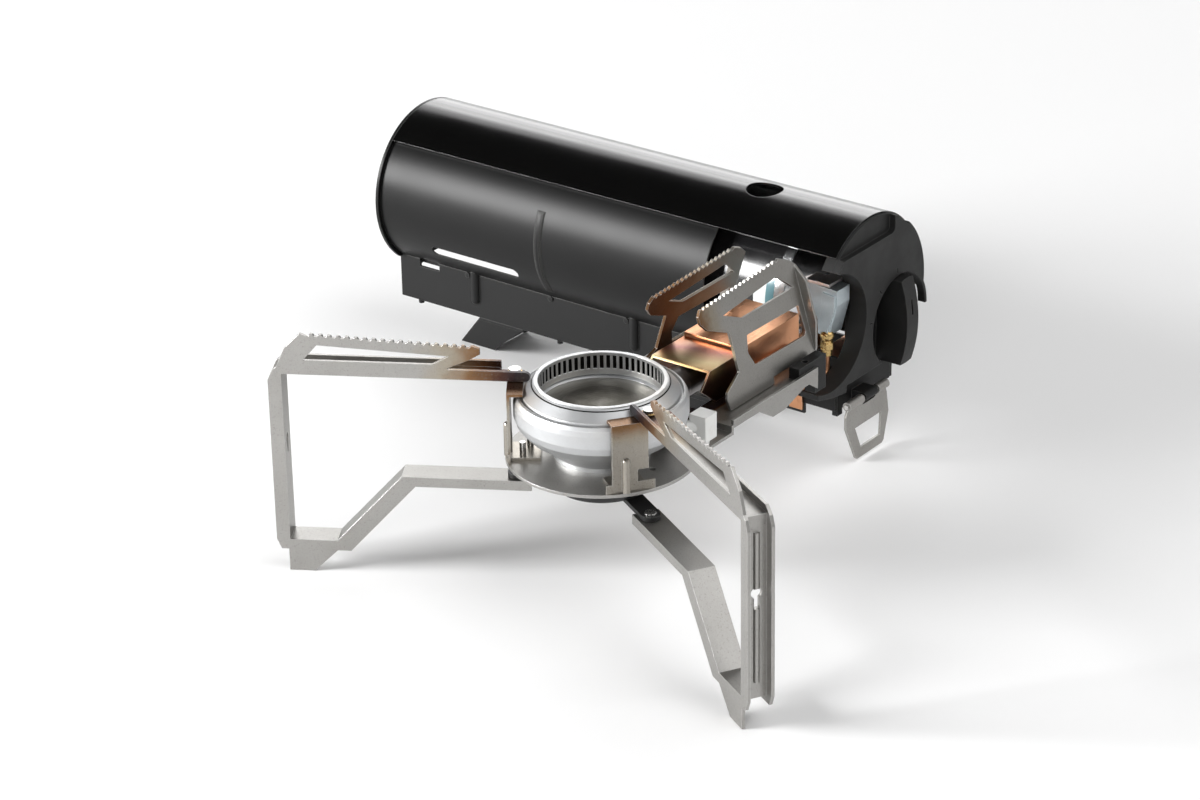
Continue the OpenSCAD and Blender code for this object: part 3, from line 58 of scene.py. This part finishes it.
# Colours of the bowl, from its middle outwards
BOWL_STOPS = (
    (0.0, (0.34, 0.33, 0.3)), (0.3, (0.2, 0.19, 0.16)), (0.62, (0.15, 0.14, 0.12)),
    (0.86, (0.28, 0.27, 0.24)), (1, (0.5, 0.49, 0.46)),
)

# Studio: the floor runs to a wall with a rounded foot
FLOOR_HALF = 6.0
FLOOR_FRONT = -4.0
WALL_FOOT = 4.5
WALL_RADIUS = 2.0
FLOOR_DROP = 0.2 * MM
CAMERA_AT = (0.9771, -1.2994, 0.8242)
CAMERA_AIM = (-0.5431, 0.7207, -0.4308)
CAMERA_ROLL = -1.07
CAMERA_LENS = 112.4
# Name, place, point it looks at, width, height, watts
LAMPS = (
    ("back_box", (-1.5, 2.15, 0.72), (0, 0.05, 0.05), 2.3, 1.3, 26),
    ("back_high_box", (-1.3, 1.85, 1.35), (0, 0.05, 0.05), 1.6, 0.7, 7),
    ("front_left_box", (-1.3, -1.45, 0.76), (0, 0.05, 0.08), 0.8, 0.8, 64),
    ("key_box", (1.5, 0.5, 2.0), (0, 0, 0), 2.8, 2.8, 44),
    ("front_right_box", (0.9, -2.0, 0.9), (0.05, 0, 0.05), 0.9, 0.9, 11),
)


def grey(value):
    return (value, value, value)


def scaled(colour, by):
    return tuple(min(1, by * c) for c in colour)


class Graph:
    """A node tree, with short calls for the nodes used here."""

    def __init__(self, owner):
        owner.use_nodes = True
        self.tree = owner.node_tree
        self.tree.nodes.clear()

    def node(self, kind, **props):
        node = self.tree.nodes.new(kind)
        for name, value in props.items():
            setattr(node, name, value)
        return node

    def link(self, a, b):
        self.tree.links.new(a, b)

    def put(self, socket, value):
        """Links a socket to a socket, or writes a number or a colour into it."""
        if isinstance(value, bpy.types.NodeSocket):
            self.link(value, socket)
        elif isinstance(value, tuple) and socket.type == "RGBA":
            socket.default_value = (*value, 1)
        else:
            socket.default_value = value

    def math(self, op, a, b=0.0):
        node = self.node("ShaderNodeMath", operation=op)
        self.put(node.inputs[0], a)
        self.put(node.inputs[1], b)
        return node.outputs[0]

    def add(self, a, b):
        return self.math("ADD", a, b)

    def sub(self, a, b):
        return self.math("SUBTRACT", a, b)

    def mul(self, a, b):
        return self.math("MULTIPLY", a, b)

    def between(self, value, limits):
        """1 inside the two limits and 0 outside them."""
        return self.mul(self.math("GREATER_THAN", value, limits[0]), self.math("LESS_THAN", value, limits[1]))

    def span(self, value, a, b, lo=0.0, hi=1.0, smooth=True):
        """Goes from lo to hi as value goes from a to b."""
        node = self.node("ShaderNodeMapRange", interpolation_type="SMOOTHSTEP" if smooth else "LINEAR")
        self.put(node.inputs["Value"], value)
        for name, limit in (("From Min", a), ("From Max", b), ("To Min", lo), ("To Max", hi)):
            self.put(node.inputs[name], limit)
        return node.outputs["Result"]

    def ramp(self, value, stops):
        node = self.node("ShaderNodeValToRGB")
        self.put(node.inputs[0], value)
        elements = node.color_ramp.elements
        while len(elements) < len(stops):
            elements.new(0.5)
        for element, (place, colour) in zip(elements, stops):
            element.position = place
            element.color = (*colour, 1)
        return node.outputs[0]


class Tree(Graph):
    """A material round one Principled shader, with its patterns in metres on the object."""

    def __init__(self, name):
        self.mat = bpy.data.materials.new(name)
        super().__init__(self.mat)
        out = self.node("ShaderNodeOutputMaterial")
        self.bsdf = self.node("ShaderNodeBsdfPrincipled")
        self.link(self.bsdf.outputs[0], out.inputs["Surface"])
        self.pos = self.node("ShaderNodeTexCoord").outputs["Object"]
        parts = self.node("ShaderNodeSeparateXYZ")
        self.link(self.pos, parts.inputs[0])
        self.x, self.y, self.z = parts.outputs
        self.rounded = None

    def set(self, **values):
        """Fills the shader's inputs. An underscore stands for the space in an input's name."""
        for name, value in values.items():
            self.put(self.bsdf.inputs[name.replace("_", " ")], value)

    def mix(self, fac, a, b, blend="MIX"):
        node = self.node("ShaderNodeMix", data_type="RGBA", blend_type=blend)
        self.put(node.inputs[0], fac)
        self.put(node.inputs[6], a)
        self.put(node.inputs[7], b)
        return node.outputs[2]

    def stretch(self, scale):
        """The place on the object, scaled along each axis."""
        node = self.node("ShaderNodeMapping")
        self.link(self.pos, node.inputs[0])
        node.inputs["Scale"].default_value = scale
        return node.outputs[0]

    def noise(self, scale, detail=2.0, rough=0.5, at=None):
        node = self.node("ShaderNodeTexNoise")
        self.link(at or self.pos, node.inputs["Vector"])
        node.inputs["Scale"].default_value = scale
        node.inputs["Detail"].default_value = detail
        node.inputs["Roughness"].default_value = rough
        return node.outputs["Fac"]

    def radius(self):
        """Distance from the burner's upright axis."""
        dx = self.sub(self.x, BURNER.x)
        dy = self.sub(self.y, BURNER.y)
        return self.math("SQRT", self.add(self.mul(dx, dx), self.mul(dy, dy)))

    def behind(self, extra):
        """Distance behind the burner's axis, plus something that makes its lines waver."""
        return self.add(self.sub(self.y, BURNER.y), extra)

    def soft_edges(self, radius):
        """Rounds the look of sharp edges, and keeps where they are in self.edge."""
        node = self.node("ShaderNodeBevel", samples=4)
        node.inputs["Radius"].default_value = radius
        self.rounded = node.outputs[0]
        flat = self.node("ShaderNodeNewGeometry")
        dot = self.node("ShaderNodeVectorMath", operation="DOT_PRODUCT")
        self.link(self.rounded, dot.inputs[0])
        self.link(flat.outputs["Normal"], dot.inputs[1])
        self.edge = self.span(dot.outputs["Value"], 0.995, 0.9)

    def worn_and_highlit(self, colour, bare, share):
        """The colour, lighter along its edges: partly bare material worn through, partly a painted highlight
        where the edges catch the light.
        """
        return self.mix(self.mul(self.edge, share), colour, bare)

    def bump(self, height, depth, strength):
        """Fine relief of a depth in metres, on top of the softened edges."""
        node = self.node("ShaderNodeBump")
        node.inputs["Strength"].default_value = strength
        node.inputs["Distance"].default_value = depth
        self.link(height, node.inputs["Height"])
        if self.rounded is not None:
            self.link(self.rounded, node.inputs["Normal"])
        self.link(node.outputs[0], self.bsdf.inputs["Normal"])


# Painted and moulded surfaces
def gloss_black():
    """Mirror-like black paint with a faint orange peel."""
    m = Tree("gloss_black_paint")
    m.soft_edges(0.4 * MM)
    dust = m.noise(scale=26, detail=3, rough=0.55)
    body = m.mix(dust, grey(0.0009), (0.0016, 0.0016, 0.0015))
    # Edges lighter grey: partly worn paint, partly a painted highlight.
    m.set(Base_Color=m.mix(m.edge, body, (0.07, 0.07, 0.068)),
          Roughness=m.span(dust, 0.3, 0.75, lo=0.15, hi=0.19),
          Specular_IOR_Level=0.55)
    peel = m.add(m.mul(m.noise(scale=2200), 0.2), m.noise(scale=240, detail=1))
    m.bump(peel, depth=0.04 * MM, strength=0.12)
    return m.mat


def satin_black(name, light=1.0, rough=0.37, rounding=0.8 * MM, gloss=0.22):
    """Dull black paint with a fine grain, a little cloudy."""
    m = Tree(name)
    m.soft_edges(rounding)
    cloud = m.noise(scale=45, detail=4, rough=0.6)
    body = m.mix(cloud, grey(0.0045 * light), grey(0.0068 * light))
    # Edges lighter grey: partly worn paint, partly a painted highlight.
    m.set(Base_Color=m.mix(m.edge, body, (0.075, 0.075, 0.072)),
          Roughness=m.span(cloud, 0.3, 0.7, lo=rough - 0.006, hi=rough + 0.01),
          Specular_IOR_Level=gloss)
    m.bump(m.noise(scale=2600, rough=0.6), depth=0.06 * MM, strength=0.22)
    return m.mat


def grained_plastic(name, tone=0.011, rough=0.56):
    """Black plastic from a grained mould."""
    m = Tree(name)
    m.soft_edges(0.6 * MM)
    cloud = m.noise(scale=60, detail=3, rough=0.6)
    cell = m.node("ShaderNodeTexVoronoi")
    m.link(m.pos, cell.inputs["Vector"])
    cell.inputs["Scale"].default_value = 2300
    body = m.mix(cloud, grey(tone * 0.85), (tone * 1.15, tone * 1.12, tone * 1.08))
    # Edges lighter grey: partly worn plastic, partly a painted highlight.
    m.set(Base_Color=m.mix(m.edge, body, (0.05, 0.05, 0.048)),
          Roughness=m.span(cloud, 0.3, 0.7, lo=rough - 0.05, hi=rough + 0.06),
          Specular_IOR_Level=0.38)
    grain = m.add(cell.outputs["Distance"], m.mul(m.noise(scale=900), 0.6))
    m.bump(grain, depth=0.11 * MM, strength=0.4)
    return m.mat


def can_paint():
    """Tinplate: black, a white and a teal band low on its front, hidden above a height by painted shade of
    the cover, then bare metal at the shoulder.
    """
    m = Tree("printed_can")
    cloud = m.noise(scale=50, detail=3, rough=0.6)
    along = m.sub(m.x, BODY_LEFT)
    # Bands only below this height; above it the black is painted shade of the cover.
    low = m.math("LESS_THAN", m.z, BANDS_SHADED_ABOVE)
    bare = m.math("GREATER_THAN", along, TEAL_BAND[1])
    colour = m.mix(cloud, (0.008, 0.008, 0.009), grey(0.014))
    colour = m.mix(m.mul(m.between(along, WHITE_BAND), low), colour, (0.72, 0.76, 0.75))
    colour = m.mix(m.mul(m.between(along, TEAL_BAND), low), colour, (0.12, 0.24, 0.27))
    colour = m.mix(bare, colour, (0.74, 0.75, 0.76))
    m.set(Base_Color=colour, Metallic=bare, Roughness=m.span(cloud, 0.3, 0.7, lo=0.18, hi=0.27),
          Coat_Weight=0.3, Coat_Roughness=0.1)
    m.bump(m.noise(scale=700), depth=0.03 * MM, strength=0.15)
    return m.mat


def ceramic():
    """White glazed ceramic, slightly stained."""
    m = Tree("white_ceramic")
    m.soft_edges(0.5 * MM)
    cloud = m.noise(scale=140, detail=3, rough=0.6)
    m.set(Base_Color=m.mix(m.span(cloud, 0.5, 0.8, hi=0.5), (0.84, 0.84, 0.82), (0.68, 0.65, 0.6)),
          Roughness=m.span(cloud, 0.3, 0.7, lo=0.3, hi=0.42),
          Specular_IOR_Level=0.5)
    m.bump(m.noise(scale=900), depth=0.04 * MM, strength=0.2)
    return m.mat


# Metals
def stainless(name, rough=0.4, relief=0.3, burn=None, tone=1.0):
    """Satin sheet steel with a fine grain and, where burn is given, the colours that heat leaves."""
    m = Tree(name)
    m.soft_edges(0.35 * MM)
    waver = m.mul(m.sub(m.noise(scale=95, detail=3, rough=0.6), 0.5), 16 * MM)
    heat = burn(m, waver) if burn else m.mul(m.noise(scale=20), 0.06)
    grain = m.noise(scale=1900, detail=3, rough=0.7)
    speck = m.noise(scale=950, detail=3, rough=0.7)
    plain = m.mix(m.noise(scale=38, detail=4, rough=0.62), (0.36, 0.35, 0.33), (0.47, 0.46, 0.445))
    colour = m.mix(1.0, plain, m.ramp(heat, HEAT_STOPS), "MULTIPLY")
    colour = m.mix(1.0, colour, grey(tone), "MULTIPLY")
    colour = m.mix(m.mul(grain, 0.6), colour, grey(0.72), "MULTIPLY")
    colour = m.mix(m.span(speck, 0.55, 0.72, hi=0.5), colour, (0.22, 0.21, 0.2))
    roughness = m.add(m.span(grain, 0.3, 0.7, lo=rough - 0.05, hi=rough + 0.07), m.mul(speck, 0.06))
    # Lighter edges: partly wear, partly a painted highlight.
    m.set(Base_Color=m.worn_and_highlit(colour, (0.8, 0.8, 0.79), 0.6), Metallic=1.0, Roughness=roughness)
    m.bump(m.add(grain, m.mul(speck, 0.5)), depth=0.04 * MM, strength=relief)
    return m.mat


def cast_alloy(name, tone, rough, ring_rate, ring_share):
    """Sandblasted aluminium with faint turned rings, warm at its top, with painted shade in the flame slots.
    """
    m = Tree(name)
    m.soft_edges(0.6 * MM)
    cloud = m.noise(scale=55, detail=4, rough=0.6)
    grit = m.noise(scale=1700, detail=3, rough=0.65)
    colour = m.mix(cloud, scaled((0.66, 0.67, 0.68), tone), scaled((0.8, 0.81, 0.82), tone))
    warm = m.span(m.add(m.z, m.mul(cloud, 4 * MM)), *WARM_HEIGHTS, hi=0.22)
    colour = m.mix(m.mul(warm, m.span(m.noise(scale=30), 0.45, 0.7)), colour, (0.62, 0.5, 0.36))
    # Lighter edges: partly wear, partly a painted highlight.
    colour = m.worn_and_highlit(colour, grey(0.93), 0.6)
    from_axis = m.radius()
    # Near-black painted shade in the flame slots.
    slot = m.mul(m.between(from_axis, SLOT_RADII), m.between(m.z, SLOT_HEIGHTS))
    colour = m.mix(slot, colour, (0.015, 0.014, 0.013))
    m.set(Base_Color=colour, Metallic=1.0,
          Roughness=m.span(grit, 0.3, 0.7, lo=rough - 0.05, hi=rough + 0.09))
    rings = m.mul(m.math("SINE", m.mul(from_axis, ring_rate)), ring_share)
    m.bump(m.add(grit, rings), depth=0.09 * MM, strength=0.3)
    return m.mat


def bowl_floor(reach=31.25 * MM, ring_rate=3300.0):
    """Heat-darkened aluminium with turned rings."""
    m = Tree("burner_floor_alloy")
    m.soft_edges(0.5 * MM)
    from_axis = m.radius()
    soot = m.noise(scale=120, detail=4, rough=0.65)
    outwards = m.mul(m.add(from_axis, m.mul(soot, 6 * MM)), 1 / reach)
    m.set(Base_Color=m.ramp(outwards, BOWL_STOPS), Metallic=1.0,
          Roughness=m.span(soot, 0.3, 0.7, lo=0.42, hi=0.6))
    m.bump(m.math("SINE", m.mul(from_axis, ring_rate)), depth=0.08 * MM, strength=0.25)
    return m.mat


def copper(name, dark=0.0):
    """Brushed copper with darker stains."""
    m = Tree(name)
    m.soft_edges(0.5 * MM)
    line = m.noise(scale=1.0, detail=3, rough=0.6, at=m.stretch((1500, 60, 60)))
    colour = m.mix(m.noise(scale=48, detail=4, rough=0.6), (0.62, 0.27, 0.13), (0.83, 0.44, 0.25))
    stain = m.span(m.noise(scale=130, detail=4, rough=0.7), 0.55, 0.8, hi=0.5)
    colour = m.mix(stain, colour, (0.34, 0.13, 0.06))
    colour = m.mix(dark, colour, (0.12, 0.05, 0.03))
    # Lighter edges: partly wear, partly a painted highlight.
    m.set(Base_Color=m.worn_and_highlit(colour, (0.95, 0.66, 0.45), 0.6), Metallic=1.0,
          Roughness=m.span(line, 0.3, 0.7, lo=0.27, hi=0.4))
    m.bump(line, depth=0.05 * MM, strength=0.2)
    return m.mat


def heat_tinted_duct(slant=-0.35, tint_length=38.46 * MM):
    """Thin steel over the mixing tube: gold in front, rose towards the copper, dark on its sides."""
    m = Tree("heat_tinted_duct")
    m.soft_edges(0.6 * MM)
    waver = m.mul(m.sub(m.noise(scale=34), 0.5), 13 * MM)
    aside = m.mul(m.sub(m.x, BURNER.x), slant)
    along = m.add(m.add(m.sub(m.y, BURNER.y + DUCT_FRONT), aside), waver)
    colour = m.ramp(m.mul(along, 1 / tint_length), DUCT_STOPS)
    side = m.span(m.z, *DUCT_SIDE)
    colour = m.mix(m.mul(side, 0.86), colour, (0.1, 0.055, 0.04))
    speck = m.noise(scale=1300, rough=0.6)
    # Lighter edges: partly bare metal under the tint, partly a painted highlight.
    m.set(Base_Color=m.worn_and_highlit(colour, (1.0, 0.78, 0.6), 0.75), Metallic=1.0,
          Roughness=m.span(speck, 0.3, 0.7, lo=0.3, hi=0.4))
    m.bump(speck, depth=0.03 * MM, strength=0.12)
    return m.mat


def metal(name, low, high, rough, scale=60.0, grit=1500.0, depth=0.06 * MM):
    """Any other metal, cloudy between two colours."""
    m = Tree(name)
    m.soft_edges(0.35 * MM)
    fine = m.noise(scale=grit, detail=3, rough=0.65)
    colour = m.mix(m.noise(scale=scale, detail=4, rough=0.62), low, high)
    # Lighter edges: partly wear, partly a painted highlight.
    m.set(Base_Color=m.worn_and_highlit(colour, scaled(high, 1.35), 0.55), Metallic=1.0,
          Roughness=m.span(fine, 0.3, 0.7, lo=rough - 0.05, hi=rough + 0.08))
    m.bump(fine, depth=depth, strength=0.3)
    return m.mat


# Where heat has coloured the steel, from 0 to 1
def arm_burn(m, waver, start=(36 * MM, 55 * MM), end=(105 * MM, 85 * MM), sides=(23.5 * MM, 19.5 * MM)):
    """The arm's sheet close behind the burner, under the duct."""
    back = m.behind(waver)
    inner = m.span(m.math("ABSOLUTE", m.sub(m.x, BURNER.x)), *sides)
    return m.mul(inner, m.mul(m.span(back, *start), m.span(back, *end, hi=0.8)))


def left_support_burn(m, waver, rear_to_front=(135 * MM, 60 * MM)):
    """The whole front half of the left rear support is brown."""
    return m.span(m.behind(m.mul(waver, 1.5)), *rear_to_front, lo=0.12, hi=0.56)


def right_support_burn(m, waver, rear_to_front=(78 * MM, 56 * MM), heights=(94 * MM, 106 * MM)):
    """Only the front tip of the right rear support is coloured."""
    tip = m.mul(m.span(m.behind(waver), *rear_to_front, hi=0.5), m.span(m.z, *heights))
    return m.add(tip, m.mul(m.noise(scale=30), 0.06))


def leg_burn(m, waver, inwards=(86 * MM, 36 * MM), heights=(96 * MM, 101 * MM)):
    """The legs' supports, at their ends over the flame."""
    from_axis = m.add(m.radius(), m.mul(waver, 1.2))
    return m.mul(m.span(from_axis, *inwards, hi=0.92, smooth=False), m.span(m.z, *heights))


def bracket_burn(m, waver, heights=(88 * MM, 102 * MM)):
    """The brackets are warm all over and brown at their top."""
    return m.add(m.span(m.add(m.z, m.mul(waver, 0.3)), *heights, hi=0.4), 0.16)


def paint(mat, *names):
    for name in names:
        for slot in nodes[name].material_slots:
            slot.material = mat


paint(gloss_black(), "cover")
paint(satin_black("satin_black_paint"), "front_shell", "rear_shell", "left_disc")
paint(satin_black("matte_black_rail", light=1.5, rough=0.5, rounding=0.6 * MM, gloss=0.3),
      "base_rail", "rail_rivets", "feet", "end_block", "pivot_bracket", "arm_bracket")
paint(satin_black("dark_hub", light=3.0, rough=0.4, rounding=0.5 * MM), "hub_cover")
paint(grained_plastic("grained_housing"), "end_housing", "canister_saddles")
paint(grained_plastic("grained_knob", tone=0.009, rough=0.5), "knob")
paint(can_paint(), "canister")
paint(ceramic(), "igniter_block", "piezo_unit", "canister_nozzle")
paint(stainless("stainless_arm", rough=0.38, burn=arm_burn), "arm_plate")
paint(stainless("stainless_support_left", burn=left_support_burn, tone=0.8), "rear_support_left")
paint(stainless("stainless_support_right", rough=0.34, burn=right_support_burn, tone=0.85),
      "rear_support_right")
paint(stainless("stainless_legs", rough=0.36, burn=leg_burn), "leg_left", "leg_right")
paint(stainless("stainless_bracket", rough=0.28, relief=0.15, burn=bracket_burn),
      "leg_bracket_left", "leg_bracket_right")
paint(stainless("stainless_sheet"), "tag", "pivot_post", "knob_spindle", "electrode")
paint(cast_alloy("cast_burner", tone=0.8, rough=0.47, ring_rate=2600.0, ring_share=0.05), "burner_body")
paint(cast_alloy("turned_ring", tone=0.76, rough=0.4, ring_rate=9000.0, ring_share=0.18), "flame_ring")
paint(bowl_floor(), "burner_floor")
paint(copper("copper_duct"), "copper_duct")
paint(copper("copper_panel", dark=0.1), "heat_panel")
paint(copper("copper_tube", dark=0.35), "gas_tube")
paint(heat_tinted_duct(), "duct_cover")
paint(metal("plated_steel", (0.55, 0.54, 0.52), (0.78, 0.77, 0.75), rough=0.24),
      "leg_pins", "tag_pin", "housing_screws", "bracket_screws", "igniter_screws")
paint(metal("oxidised_tube", (0.1, 0.095, 0.1), (0.2, 0.18, 0.17), rough=0.34), "mixing_tube")
paint(metal("brass", (0.5, 0.33, 0.12), (0.72, 0.52, 0.24), rough=0.26),
      "brass_union", "jet_holder", "pivot_bush", "pin_washers")
paint(metal("zinc_plate", (0.5, 0.57, 0.6), (0.66, 0.72, 0.75), rough=0.45, scale=90.0, grit=1100.0,
            depth=0.12 * MM), "regulator_body")
paint(metal("pale_alloy", (0.66, 0.61, 0.59), (0.8, 0.76, 0.74), rough=0.36), "regulator_bracket")
paint(metal("tinned_dome", (0.68, 0.69, 0.7), (0.82, 0.82, 0.83), rough=0.16, scale=40.0, grit=500.0,
            depth=0.03 * MM), "canister_dome")


def add_floor(rows=24, columns=2, flat_share=0.6):
    """A pale floor that curves up into a wall behind the object."""
    verts, faces = [], []
    for row in range(rows + 1):
        share = row / rows
        turn = max(0.0, (share - flat_share) / (1 - flat_share)) * math.pi / 2
        flat = min(share / flat_share, 1.0)
        y = FLOOR_FRONT + (WALL_FOOT - FLOOR_FRONT) * flat + WALL_RADIUS * math.sin(turn)
        z = WALL_RADIUS * (1 - math.cos(turn)) - FLOOR_DROP
        for column in range(columns + 1):
            verts.append((FLOOR_HALF * (2 * column / columns - 1), y, z))
    for row in range(rows):
        for column in range(columns):
            corner = row * (columns + 1) + column
            faces.append((corner, corner + 1, corner + columns + 2, corner + columns + 1))
    mesh = bpy.data.meshes.new("studio_floor")
    mesh.from_pydata(verts, [], faces)
    for face in mesh.polygons:
        face.use_smooth = True
    m = Tree("studio_floor")
    m.set(Base_Color=grey(0.93), Roughness=0.7, Specular_IOR_Level=0.15)
    mesh.materials.append(m.mat)
    floor = bpy.data.objects.new("studio_floor", mesh)
    bpy.context.scene.collection.objects.link(floor)


def add_world(low=(0.42, 0.2), behind=(0.1, 0.6)):
    """White to the camera, and to gloss low behind the object. The rest is dim and darker above."""
    world = bpy.data.worlds.new("studio")
    bpy.context.scene.world = world
    graph = Graph(world)
    coord, parts = graph.node("ShaderNodeTexCoord"), graph.node("ShaderNodeSeparateXYZ")
    graph.link(coord.outputs["Generated"], parts.inputs[0])
    white, dim = graph.node("ShaderNodeBackground"), graph.node("ShaderNodeBackground")
    dim_stops = ((0.1, grey(0.34)), (0.6, grey(0.05)))
    graph.put(white.inputs["Color"], grey(1.0))
    graph.put(dim.inputs["Color"], graph.ramp(parts.outputs["Z"], dim_stops))
    graph.put(dim.inputs["Strength"], 0.8)
    path = graph.node("ShaderNodeLightPath")
    low_behind = graph.mul(graph.span(parts.outputs["Z"], *low, smooth=False),
                           graph.span(parts.outputs["Y"], *behind, smooth=False))
    gloss = graph.math("MAXIMUM", path.outputs["Is Glossy Ray"], path.outputs["Is Transmission Ray"])
    bright = graph.math("MAXIMUM", graph.mul(gloss, low_behind), path.outputs["Is Camera Ray"])
    mix, out = graph.node("ShaderNodeMixShader"), graph.node("ShaderNodeOutputWorld")
    graph.put(mix.inputs[0], bright)
    graph.link(dim.outputs[0], mix.inputs[1])
    graph.link(white.outputs[0], mix.inputs[2])
    graph.link(mix.outputs[0], out.inputs["Surface"])


def add_lamp(name, at, look, wide, high, watts):
    lamp = bpy.data.lights.new(name, "AREA")
    lamp.energy = watts
    lamp.shape = "RECTANGLE"
    lamp.size, lamp.size_y = wide, high
    holder = bpy.data.objects.new(name, lamp)
    bpy.context.scene.collection.objects.link(holder)
    holder.location = at
    holder.rotation_mode = "QUATERNION"
    holder.rotation_quaternion = (Vector(look) - Vector(at)).to_track_quat("-Z", "Y")


def add_camera():
    """The camera that was fitted to the photograph's perspective."""
    camera = bpy.data.cameras.new("camera")
    camera.sensor_width = 36
    camera.lens = CAMERA_LENS
    camera.clip_start, camera.clip_end = 0.05, 40
    holder = bpy.data.objects.new("camera", camera)
    bpy.context.scene.collection.objects.link(holder)
    forward = Vector(CAMERA_AIM).normalized()
    level = forward.cross(Vector((0, 0, 1))).normalized()
    upright = level.cross(forward).normalized()
    cosine, sine = math.cos(math.radians(CAMERA_ROLL)), math.sin(math.radians(CAMERA_ROLL))
    right, up = level * cosine + upright * sine, upright * cosine - level * sine
    matrix = holder.matrix_world.copy()
    for row in range(3):
        matrix[row][0], matrix[row][1], matrix[row][2] = right[row], up[row], -forward[row]
    matrix.translation = Vector(CAMERA_AT)
    holder.matrix_world = matrix
    bpy.context.scene.camera = holder


add_floor()
add_world()
add_camera()
for lamp in LAMPS:
    add_lamp(*lamp)

bpy.context.scene.view_settings.view_transform = "Standard"
